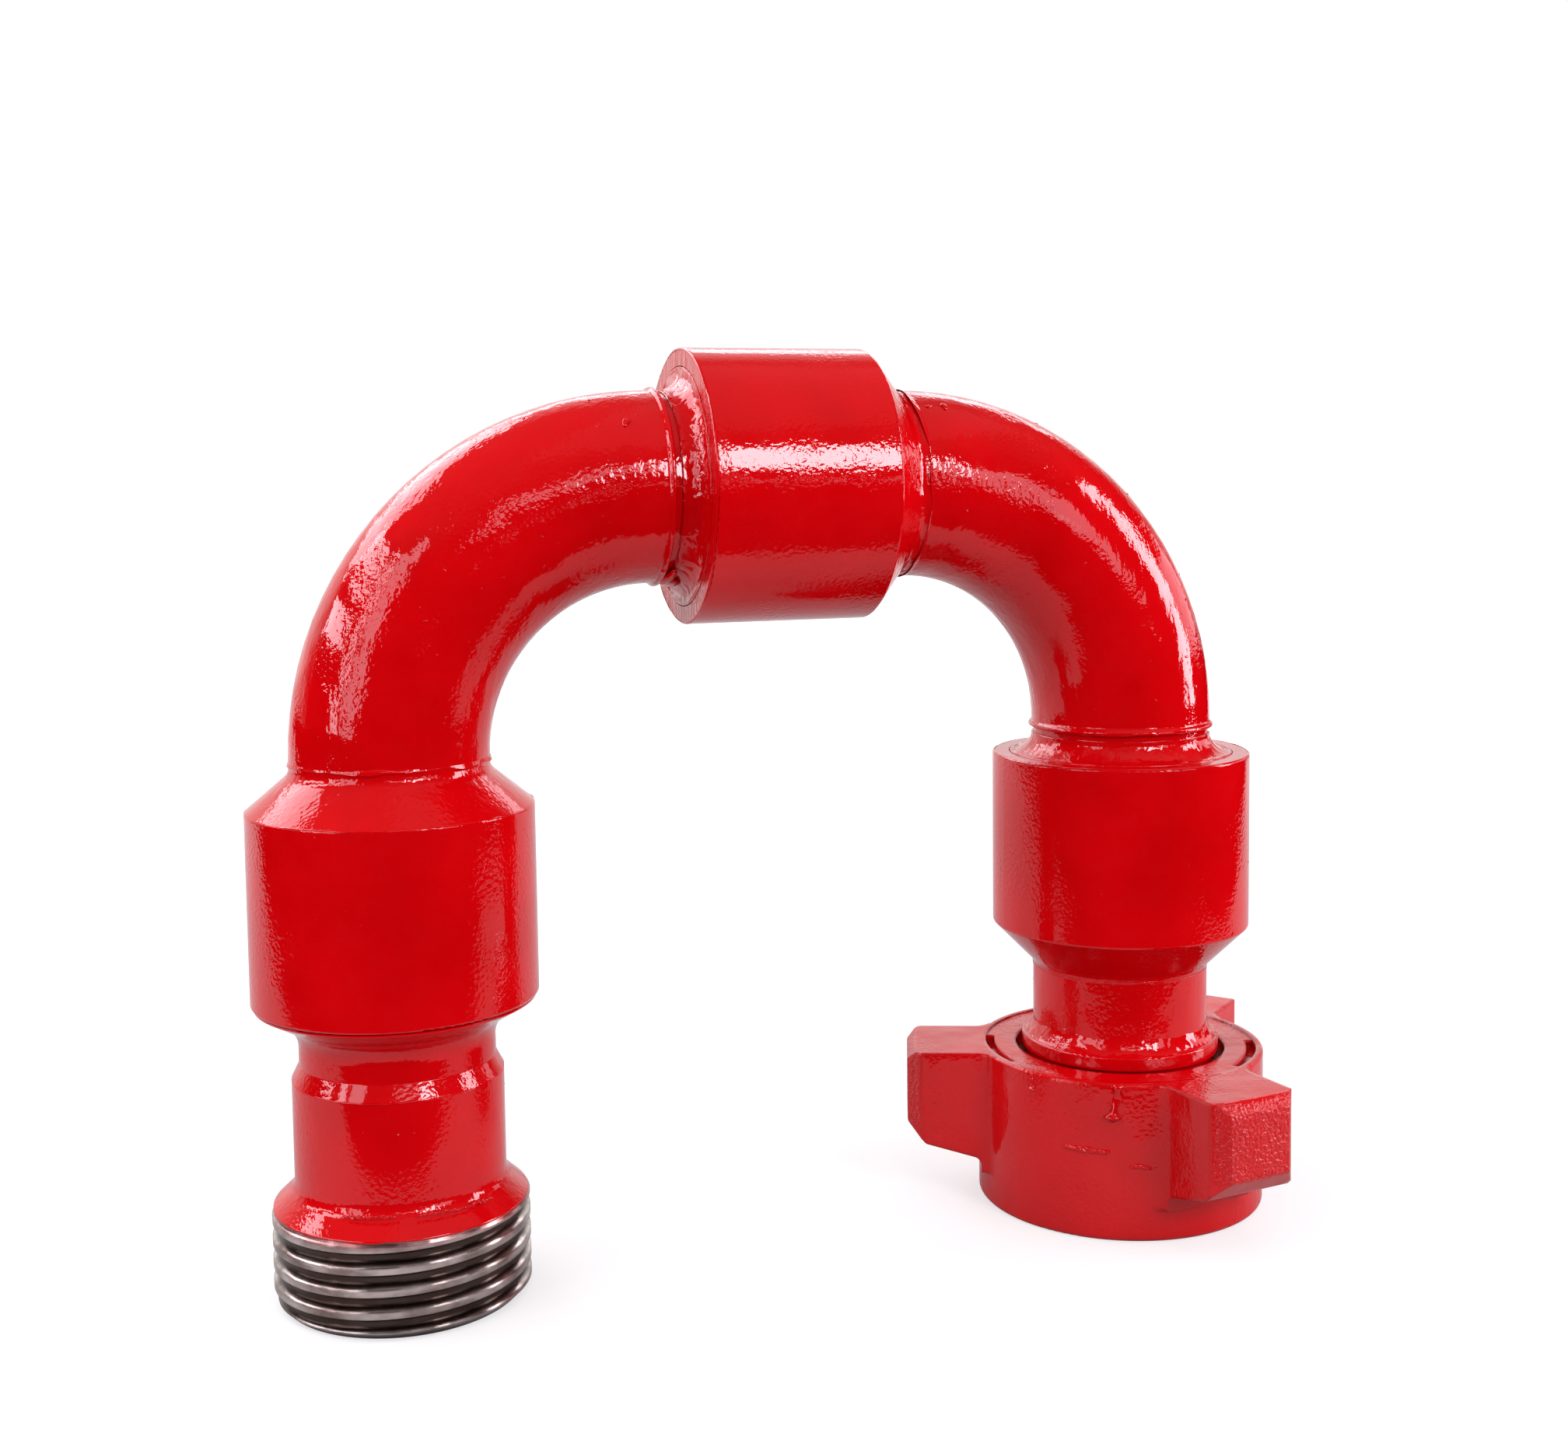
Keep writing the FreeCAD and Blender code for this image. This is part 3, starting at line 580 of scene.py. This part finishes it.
def paint_bead(name, body, swivel, radius, depth, lean, height, width, seed, drift, lift):
    """An ellipse carried round the axis. Its centre sits on the corner (radius, depth), its height points
    along the normal there, lean degrees from straight out towards the barrel. Height = height times
    (lift + wander), half width = width times (0.65 + 0.45 wander), and the centre slides along the metal
    by drift times width times wander."""
    angle = np.linspace(0, 2 * np.pi, BEAD_TURNS, endpoint=False)[:, None]
    t = np.linspace(0, 2 * np.pi, BEAD_SIDES, endpoint=False)[None, :]
    tall = np.clip(lift + wander(angle, seed), BEAD_LEAST, None) * height
    faces = grid_faces(BEAD_TURNS, BEAD_SIDES, True, True).tolist()
    wide = (0.65 + 0.45 * wander(angle, seed + 1)) * width
    slide = drift * width * wander(angle, seed + 2, waves=(2, 4, 7, 11))
    out, up = math.cos(math.radians(lean)), math.sin(math.radians(lean))
    away = tall * np.cos(t) - SUNK
    along = wide * np.sin(t) + slide
    points = around(swivel, radius + away * out - along * up, angle, depth + away * up + along * out)
    return paint_ready(mesh_piece(name, points, faces), body)


BEADS = [
    # name, body, frame, radius, depth, lean, height, half width, seed, drift, lift
    ("bead_cone_left", "first_elbow", "left", 38.6, 93.9, 20, 0.7, 1.8, 11, 0.7, 0.0),
    ("bead_rim_left", "first_elbow", "left", 55.1, 75.1, 55, 0.55, 0.8, 12, 0.2, 0.3),
    ("bead_lip_top", "first_elbow", "top", 39.5, -11.8, 30, 0.5, 0.7, 13, 0.5, 0.2),
    ("bead_lip_right", "second_elbow", "right", 39.5, -11.8, 30, 0.5, 0.7, 17, 0.5, 0.2),
    ("bead_flare_top", "first_elbow", "top", 47.0, -0.3, -90, 0.6, 0.8, 14, 0.5, 0.3),
    ("bead_flare_right", "second_elbow", "right", 47.0, -0.3, -90, 0.5, 0.7, 18, 0.4, 0.3),
    ("bead_cone_top", "second_elbow", "top", 38.6, 93.9, 20, 0.7, 1.8, 15, 0.7, 0.0),
    ("bead_rim_top", "second_elbow", "top", 55.1, 75.1, 55, 0.45, 0.6, 16, 0.2, 0.15),
    ("bead_mouth_top", "second_elbow", "top", 55.1, 0.2, -55, 0.45, 0.7, 26, 0.2, 0.3),
    ("bead_mouth_right", "wing_end", "right", 55.1, 0.2, -55, 0.55, 0.8, 19, 0.2, 0.25),
    ("bead_cone_right", "wing_end", "right", 37.9, 94.6, 12, 0.5, 0.9, 28, 0.9, -0.1),
    ("bead_collar_top", "threaded_end", "thread", 40.7, 88.0, 45, 0.6, 0.9, 20, 0.4, 0.25),
]
for name, body, swivel, radius, depth, lean, height, width, seed, drift, lift in BEADS:
    paint_bead(name, body, swivel, radius * MM, depth * MM, lean, height * MM, width * MM, seed, drift, lift)
print("beads", len(BEADS))

# %% [markdown]
# ### Fillets of paint
# In the corner between a tube and its flare the spray has built up so much that
# the corner is filled: a quarter circle of paint, wrinkled as it dried. The foot
# of the right neck has a smaller one. Their two edges wander, because they dip
# into the metal at a depth that changes round the ring.

# %% Fillets
FILLET_R = 8.3 * MM
FILLET_TURNS = 360
FILLET_STEPS = 16


def paint_fillet(name, body, swivel, corner_radius, corner_depth, seed, out=FILLET_R, along=-FILLET_R):
    """Arc point = corner + out (1 - cos q) outwards + along (1 - sin q) on the axis, for q from 0 to a
    quarter turn, raised by a wandering thickness that falls below nothing at both ends; then three points
    back through the metal, which close the section."""
    angle = np.linspace(0, 2 * np.pi, FILLET_TURNS, endpoint=False)[:, None]
    q = np.linspace(0, np.pi / 2, FILLET_STEPS)[None, :]
    thick = (0.22 + 0.25 * wander(angle, seed) * np.sin(2 * q)
             - (0.45 + 0.4 * wander(angle, seed + 1)) * (np.cos(q) ** 12 + np.sin(q) ** 12)) * MM
    side = np.sign(along)
    radius = corner_radius + out * (1 - np.cos(q)) + thick * np.cos(q)
    depth = corner_depth + along * (1 - np.sin(q)) + side * thick * np.sin(q)
    back = np.array([[out - 0.7 * MM, -side * 0.9 * MM], [-0.7 * MM, -side * 0.9 * MM], [-0.7 * MM, along]])
    back = np.broadcast_to(back, (FILLET_TURNS, 3, 2))
    radius = np.concatenate([radius, corner_radius + back[..., 0]], axis=1)
    depth = np.concatenate([depth, corner_depth + back[..., 1]], axis=1)
    points = around(swivel, radius, angle, depth)
    faces = grid_faces(FILLET_TURNS, FILLET_STEPS + 3, True, True).tolist()
    return paint_ready(mesh_piece(name, points, faces), body, enamel_wrinkled)


paint_fillet("fillet_top", "first_elbow", "top", 38.5 * MM, -0.3 * MM, 51)
paint_fillet("fillet_right", "second_elbow", "right", 38.5 * MM, -0.3 * MM, 61)
paint_fillet("fillet_neck_foot", "wing_end", "foot", 37.8 * MM, 72.0 * MM, 71, out=4.4 * MM, along=8.0 * MM)
print("fillets of paint", FILLET_R, "m and smaller")

# %% [markdown]
# ### Drips
# Under the nut's upper edge the paint ran and froze. A drip is a section carried
# down the wall: a flat round that stays narrow and then swells into the bulb that
# hardened before it fell. Its inner half is in the metal, so it needs no seam.

# %% Drips
DRIP_RINGS = 46
DRIP_SIDES = 16


def paint_drip(name, angle, top, length, width, height, seed):
    """Half width = width * cap (waist + 0.75 bulb), where the cap closes both ends, the waist narrows with
    the run and the bulb is a bell curve near its end. The height follows, and the path sways sideways."""
    run = np.linspace(0, 1, DRIP_RINGS)[:, None]
    t = np.linspace(0, 2 * np.pi, DRIP_SIDES, endpoint=False)[None, :]
    bulb = np.exp(-((run - 0.86) / 0.085) ** 2)
    waist = (0.62 + 0.22 * np.sin(5.2 * run * np.pi + seed) * (1 - run)) * (1 - 0.35 * run)
    cap = np.sqrt(np.clip(1 - (2 * run - 1) ** 8, 0.0, None)) + 0.02
    half = width * cap * (waist + 0.75 * bulb)
    tall = height * cap * (0.5 + 0.3 * np.sin(3.1 * np.pi * run + seed) + 0.9 * bulb)
    sway = 0.35 * width * np.sin(4.0 * run + seed)
    across = (half * np.sin(t) + sway) / NUT_R
    points = around("foot", NUT_R - 0.1 * MM + tall * np.cos(t), angle + across, top - run * length)
    return paint_ready(mesh_piece(name, *closed_tube(points)), "hammer_nut")


DRIPS = [
    # angle in degrees, then top, length, half width and height in millimetres, seed
    (241, 67.0, 16.5, 3.2, 2.1, 1),
    (283, 66.8, 13.0, 2.8, 1.9, 2),
    (207, 66.6, 8.0, 2.0, 1.2, 3),
]
for number, (angle, top, length, width, height, seed) in enumerate(DRIPS, 1):
    paint_drip("paint_drip_%d" % number, math.radians(angle), top * MM, length * MM, width * MM, height * MM,
               seed)
print("drips", len(DRIPS))

# %% [markdown]
# ### Lumps and specks
# Grit caught in the wet coat stands out as specks, the casting's raised marks as
# rows of low lumps, and under the arch a torn lump hangs from the flare. Each is a
# low dome with a lobed outline. They are so many and so small that one mesh holds
# all of a body's specks, with few faces to each.

# %% Lumps
LUMP_SIDES = 12
LUMP_RINGS = 8
POLE_GAP = 0.06
PHASES = (0, 6.3)  # a full turn, in radians


def paint_lumps(name, body, places, seed):
    """Many domes in one mesh. A dome's point = middle + a cos(u) sin(v) across + b sin(u) sin(v) along
    + height cos(v) outwards, with lobes in its outline."""
    draw = np.random.default_rng(seed)
    u = np.linspace(0, 2 * np.pi, LUMP_SIDES, endpoint=False)[None, :]
    v = np.linspace(POLE_GAP, np.pi - POLE_GAP, LUMP_RINGS)[:, None]
    vertices, faces, count = [], [], 0
    for middle, outward, along, half_across, half_along, height in places:
        outward = outward / np.linalg.norm(outward)
        along = along - outward * (along @ outward)
        along = along / np.linalg.norm(along)
        across = np.cross(outward, along)
        lobes = 1 + 0.22 * np.sin(2 * u + draw.uniform(*PHASES))
        lobes = lobes + 0.14 * np.sin(3 * u + draw.uniform(*PHASES))
        points = (middle + (half_across * lobes * np.cos(u) * np.sin(v))[..., None] * across
                  + (half_along * lobes * np.sin(u) * np.sin(v))[..., None] * along
                  + (height * np.cos(v) + 0 * u)[..., None] * outward)
        shell, shell_faces = closed_tube(points, count)
        vertices.append(shell)
        faces.extend(shell_faces)
        count += len(shell)
    return paint_ready(mesh_piece(name, np.vstack(vertices), faces), body)


print("a lump has", LUMP_RINGS * LUMP_SIDES + 2, "points")

# %% [markdown]
# ### Where the lumps sit
# A lump needs a spot on the skin and the direction that points out of it there.
# On a barrel both follow from an angle and a depth, on a bend from two angles, so
# no ray has to be cast at the mesh.

# %% Spots on walls and bends
def on_round(swivel, radius, angle, depth):
    """Middle, outward and axis directions of a spot on a round wall."""
    here, further = around(swivel, np.array([radius, radius + MM]), math.radians(angle), depth)
    return here, further - here, SWIVELS[swivel][1][2]


def on_bend(side, phi, psi):
    """The same on a bend. phi runs from the leg to the top, psi turns from the outer side to the front."""
    phi, psi = math.radians(phi), math.radians(psi)
    middle_x, sign = (BEND_R, -1.0) if side == "left" else (RIGHT_BEND_X, 1.0)
    away = np.array([sign * math.cos(phi), 0.0, math.sin(phi)])
    along = np.array([-sign * math.sin(phi), 0.0, math.cos(phi)])
    outward = math.cos(psi) * away + math.sin(psi) * np.array([0.0, -1.0, 0.0])
    return np.array([middle_x, 0.0, BEND_Z]) + BEND_R * away + TUBE_R * outward, outward, along


def scatter(find, count, seed, first, second, size):
    """Specks strewn over part of a wall: find(first, second) gives the place, both drawn from a range."""
    draw = np.random.default_rng(seed)
    places = []
    for _ in range(count):
        here, outward, axis = find(draw.uniform(*first), draw.uniform(*second))
        wide = size * draw.uniform(0.35, 1.0)
        places.append((here, outward, axis, wide, wide * draw.uniform(0.8, 1.6),
                       wide * draw.uniform(0.25, 0.45)))
    return places


DASH_STEP = 0.9


def dash(swivel, radius, start, end, depth, slope, size, seed):
    """A row of low lumps that touch, as a raised casting mark under paint."""
    draw = np.random.default_rng(seed)
    places = []
    for angle in np.arange(start, end, DASH_STEP):
        level = depth + slope * (angle - start) + draw.normal(0, 0.25 * MM)
        here, outward, axis = on_round(swivel, radius, angle, level)
        wide = size * draw.uniform(0.5, 1.0)
        places.append((here, outward, axis, 1.5 * wide, wide, wide * draw.uniform(0.5, 0.9)))
    return places


def wall(swivel, radius):
    """A round wall as a function of angle and depth."""
    return lambda angle, depth: on_round(swivel, radius, angle, depth)


def spot(here, half_across, half_along, height):
    """One lump at a place, with its sizes in millimetres."""
    return (*here, half_across * MM, half_along * MM, height * MM)


print("a spot on the left bend", on_bend("left", 45, 0)[0].round(4))

# %% [markdown]
# ### The specks strewn
# Seeds keep every speck in its place from run to run. The rough bends hold the
# most of them, the turned barrels fewer and smaller ones. The casting marks on the
# nut and the collar are rows of lumps that touch, and a few larger blobs sit near
# the tops of the bends, where the coat lay thickest.

# %% Lumps and specks
paint_lumps("specks_first_elbow", "first_elbow",
            scatter(lambda a, b: on_bend("left", a, b), 34, 31, (5, 88), (10, 150), 0.7 * MM)
            + scatter(wall("left", BARREL_R), 12, 32, (215, 330), (6 * MM, 70 * MM), 0.4 * MM)
            + [spot(on_bend("left", 84, 48), 2.0, 1.8, 0.9)], 33)
paint_lumps("specks_second_elbow", "second_elbow",
            scatter(lambda a, b: on_bend("right", a, b), 34, 34, (5, 88), (10, 150), 0.7 * MM)
            + scatter(wall("top", BARREL_R), 16, 35, (0, 360), (6 * MM, 70 * MM), 0.4 * MM)
            + [spot(on_bend("right", 85, 35), 1.9, 1.7, 0.9),
               spot(on_bend("right", 88, 36), 0.8, 1.6, 0.5)], 36)
paint_lumps("specks_wing_sub", "wing_end",
            scatter(wall("right", BARREL_R), 14, 37, (0, 360), (40 * MM, 70 * MM), 0.45 * MM)
            + scatter(wall("right", 37.8 * MM), 12, 38, (0, 360), (98 * MM, 118 * MM), 0.6 * MM), 39)
paint_lumps("specks_thread_sub", "threaded_end",
            scatter(wall("thread", 41.0 * MM), 22, 40, (0, 360), (52 * MM, 86 * MM), 0.45 * MM)
            + dash("thread", 45.2 * MM, 236, 262, 46.2 * MM, 0.0, 0.6 * MM, 47)
            + dash("thread", 45.6 * MM, 272, 312, 45.6 * MM, -0.02 * MM, 0.55 * MM, 48), 41)
paint_lumps("casting_marks_nut", "hammer_nut",
            dash("foot", NUT_R, 222, 238, 38.2 * MM, -0.02 * MM, 1.3 * MM, 42)
            + dash("foot", NUT_R, 247, 266, 32.5 * MM, -0.10 * MM, 1.2 * MM, 43)
            + scatter(wall("foot", NUT_R), 14, 44, (200, 268), (24 * MM, 60 * MM), 0.45 * MM), 45)
paint_lumps("hanging_lump", "first_elbow",
            [spot(on_round("top", 39.2 * MM, 204, -9.6 * MM), 8.5, 2.6, 1.6),
             spot(on_round("top", 39.6 * MM, 196, -6.0 * MM), 4.0, 3.4, 1.2),
             spot(on_round("top", 39.0 * MM, 214, -12.4 * MM), 3.0, 1.2, 1.0)], 46)
print("lumps and specks placed")

# %% [markdown]
# ## The studio
# The joint stands on an endless white floor under a white sky. The camera sees
# that white through the Light Path node, so it costs no light on the joint, which
# is lit at the level at which paint renders as it is mixed. For mirror rays the
# white paper ends a hand's breadth in front of the joint and the room beyond is
# dark. That dark room is what makes the front of the enamel deep red.

# %% Floor
FLOOR_HALF = 14.0
FLOOR_MATT = 0.40
FLOOR_GLOW = 0.55
HORIZON_NEAR, HORIZON_FAR = 0.5, 2.2
PAPER_FRONT_Y = -0.215
PAPER_EDGE = 0.01
PAPER_SLANT = 0.22
PAPER_HALF_WIDTH = 0.55
PAPER_SIDE_CUT = 1.5
PAPER_IN_MIRRORS = 0.6


def light_of_mirrors(tree):
    """1 for the rays of mirrors and glass, and the Light Path node that tells them."""
    path = node(tree, "ShaderNodeLightPath")
    return math_of(tree, "ADD", path.outputs["Is Glossy Ray"], path.outputs["Is Transmission Ray"]), path


def white_paper():
    """Matt white that keeps shadows, plus a glow for cameras and mirrors. Mirrors find no paper beyond its
    front edge, which slants, and which falls back further the more a spot lies to the side."""
    material, tree, shader = new_finish("white_paper")
    tree.nodes.remove(shader)
    matt = node(tree, "ShaderNodeBsdfDiffuse")
    glow = node(tree, "ShaderNodeEmission")
    mirror, path = light_of_mirrors(tree)
    split = node(tree, "ShaderNodeSeparateXYZ")
    tree.links.new(place(tree, shift=(-LEG_X / 2, 0.0, 0.0)), split.inputs[0])
    aside = math_of(tree, "SUBTRACT", math_of(tree, "ABSOLUTE", split.outputs[0]), PAPER_HALF_WIDTH)
    inwards = math_of(tree, "MULTIPLY", math_of(tree, "MAXIMUM", aside, 0.0), PAPER_SIDE_CUT)
    slanted = math_of(tree, "ADD", math_of(tree, "MULTIPLY", split.outputs[0], PAPER_SLANT), split.outputs[1])
    paper = remap(tree, math_of(tree, "SUBTRACT", slanted, inwards),
                  PAPER_FRONT_Y - PAPER_EDGE, PAPER_FRONT_Y + PAPER_EDGE)
    beyond = math_of(tree, "MULTIPLY", mirror, math_of(tree, "SUBTRACT", 1.0, paper))
    white = math_of(tree, "MULTIPLY", math_of(tree, "SUBTRACT", 1.0, beyond), FLOOR_MATT)
    tree.links.new(white, matt.inputs["Color"])
    far = node(tree, "ShaderNodeVectorMath", operation="LENGTH")
    tree.links.new(place(tree, shift=(-LEG_X / 2, 0.0, 0.0)), far.inputs[0])
    horizon = remap(tree, far.outputs["Value"], HORIZON_NEAR, HORIZON_FAR)
    seen = math_of(tree, "ADD", math_of(tree, "MULTIPLY", horizon, 1.0 - FLOOR_GLOW), FLOOR_GLOW)
    mirrored = math_of(tree, "MULTIPLY", math_of(tree, "MULTIPLY", horizon, paper), PAPER_IN_MIRRORS)
    tree.links.new(math_of(tree, "ADD", math_of(tree, "MULTIPLY", path.outputs["Is Camera Ray"], seen),
                           math_of(tree, "MULTIPLY", mirror, mirrored)), glow.inputs["Strength"])
    added = node(tree, "ShaderNodeAddShader")
    tree.links.new(matt.outputs[0], added.inputs[0])
    tree.links.new(glow.outputs[0], added.inputs[1])
    tree.links.new(added.outputs[0], tree.nodes["Material Output"].inputs["Surface"])
    return material


floor_corners = FLOOR_HALF * np.array([[-1, -1, 0], [1, -1, 0], [1, 1, 0], [-1, 1, 0]])
floor = mesh_piece("studio_floor", floor_corners, [[0, 1, 2, 3]], smooth=False)
floor.data.materials.append(white_paper())
print("floor", 2 * FLOOR_HALF, "m wide")

# %% [markdown]
# ### The sky
# The world's colour is white and its strength depends on who asks. The camera
# sees plain white. Mirrors see it only behind the joint, and as a faint veil above.
# Matt surfaces get a soft light that grows towards the zenith, as from a white
# ceiling, which fills the shadows without a lamp that would show as a streak.

# %% Sky
SKY_BEHIND = (0.45, 0.85)
SKY_ABOVE = (0.35, 0.95)
SKY_VEIL = 0.16
SKY_LEAST = 0.01
SKY_DIFFUSE = 0.20
SKY_DIFFUSE_TOP = 0.78
world = bpy.data.worlds.new("studio_air")
bpy.context.scene.world = world
world.use_nodes = True
sky = world.node_tree
background = sky.nodes["Background"]
background.inputs["Color"].default_value = (1.0, 1.0, 1.0, 1.0)
mirror, path = light_of_mirrors(sky)
direction = node(sky, "ShaderNodeTexCoord")
split = node(sky, "ShaderNodeSeparateXYZ")
sky.links.new(direction.outputs["Generated"], split.inputs[0])
behind = remap(sky, split.outputs[1], *SKY_BEHIND)
above = remap(sky, split.outputs[2], *SKY_ABOVE, 0.0, SKY_VEIL)
room = math_of(sky, "ADD", math_of(sky, "MAXIMUM", behind, above), SKY_LEAST)
seen = math_of(sky, "ADD", math_of(sky, "MULTIPLY", mirror, room), path.outputs["Is Camera Ray"])
upwards = math_of(sky, "MAXIMUM", split.outputs[2], 0.0)
soft = math_of(sky, "ADD", math_of(sky, "MULTIPLY", upwards, SKY_DIFFUSE_TOP), SKY_DIFFUSE)
matt_light = math_of(sky, "MULTIPLY", path.outputs["Is Diffuse Ray"], soft)
sky.links.new(math_of(sky, "ADD", seen, matt_light), background.inputs["Strength"])
print("sky", world.name)

# %% [markdown]
# ## The lamps
# Each streak on the enamel is a softbox seen in a curved mirror, so each lamp is
# placed by the direction from which its streak comes. The directions are given
# round the joint's middle: azimuth 0 is the camera's side, positive to the right.

# %% Lamps
CENTRE = np.array([0.155, 0.0, 0.20])
LAMP_DISTANCE = 1.9
PINKISH = (0.98, 0.92, 1.0)
SOFTBOXES = [
    # name, azimuth, elevation, width and height in degrees, radiance
    ("key", 20, 24.5, 13, 16, 20.0),
    ("key_wing_left", -2, 27, 26, 7, 3.2),
    ("key_wing_right", 36, 13, 17, 20, 2.6),
    ("low_strip", 18, 7, 30, 1.4, 2.0),
    ("left_strip", -74, 19, 7, 38, 7.0),
    ("left_box", -58, 19, 14, 38, 3.6),
    ("far_left_low", -105, 20, 34, 7, 8.0),
    ("far_left_high", -105, 34, 36, 8, 8.0),
    ("back_left", -146, 38, 36, 26, 4.2),
    ("back_high", 165, 33, 60, 11, 2.5),
    ("right_strip", 78, 14, 15, 36, 11.0),
    ("right_band", 102, 10, 32, 15, 1.6),
    ("overhead", 60, 72, 60, 40, 0.12),
]


def softbox(name, azimuth, elevation, width, height, radiance):
    """A rectangular lamp that faces the joint. Its power is radiance * pi * area, in watts."""
    a, e = math.radians(azimuth), math.radians(elevation)
    towards = np.array([math.sin(a) * math.cos(e), -math.cos(a) * math.cos(e), math.sin(e)])
    lamp = bpy.data.lights.new(name, "AREA")
    lamp.shape = "RECTANGLE"
    lamp.size = 2 * LAMP_DISTANCE * math.tan(math.radians(width) / 2)
    lamp.size_y = 2 * LAMP_DISTANCE * math.tan(math.radians(height) / 2)
    lamp.energy = radiance * math.pi * lamp.size * lamp.size_y
    lamp.color = PINKISH
    across = np.cross([0.0, 0.0, 1.0], towards)
    across /= np.linalg.norm(across)
    turn = Matrix((across, np.cross(towards, across), towards)).transposed().to_4x4()
    made = bpy.data.objects.new(name, lamp)
    made.matrix_world = Matrix.Translation(CENTRE + towards * LAMP_DISTANCE) @ turn
    made.visible_camera = False
    bpy.context.scene.collection.objects.link(made)
    return made


for box in SOFTBOXES:
    softbox(*box)
print("lamps", len(SOFTBOXES))

# %% [markdown]
# ## The camera
# It stands a little left of the middle and almost level with the top barrel. The
# frame is lowered by a small lens shift, because the joint fills the lower part
# of the picture.

# %% Camera
IMAGE_WIDTH = 2016
FOCAL_PIXELS = 2470.7
SHIFT_Y_PIXELS = -120.0
CAMERA_AT = (-0.0785, -0.7512, 0.3217)
YAW, PITCH, ROLL = (math.radians(v) for v in (17.7, 4.6, -0.7))


def stand_camera():
    """Camera axes from yaw (to the right of +Y), pitch (down) and roll."""
    ahead = np.array([math.sin(YAW) * math.cos(PITCH), math.cos(YAW) * math.cos(PITCH), -math.sin(PITCH)])
    right = np.array([math.cos(YAW), -math.sin(YAW), 0.0])
    up = np.cross(right, ahead)
    right, up = math.cos(ROLL) * right + math.sin(ROLL) * up, math.cos(ROLL) * up - math.sin(ROLL) * right
    lens = bpy.data.cameras.new("camera")
    lens.sensor_width = 36.0
    lens.lens = FOCAL_PIXELS * lens.sensor_width / IMAGE_WIDTH
    lens.shift_y = SHIFT_Y_PIXELS / IMAGE_WIDTH
    lens.clip_start, lens.clip_end = 0.05, 50.0
    made = bpy.data.objects.new("camera", lens)
    made.matrix_world = Matrix.Translation(CAMERA_AT) @ Matrix((right, up, -ahead)).transposed().to_4x4()
    bpy.context.scene.collection.objects.link(made)
    return made


camera = stand_camera()
bpy.context.scene.camera = camera
bpy.context.scene.view_settings.view_transform = "Standard"
print("lens", round(camera.data.lens, 2), "mm")
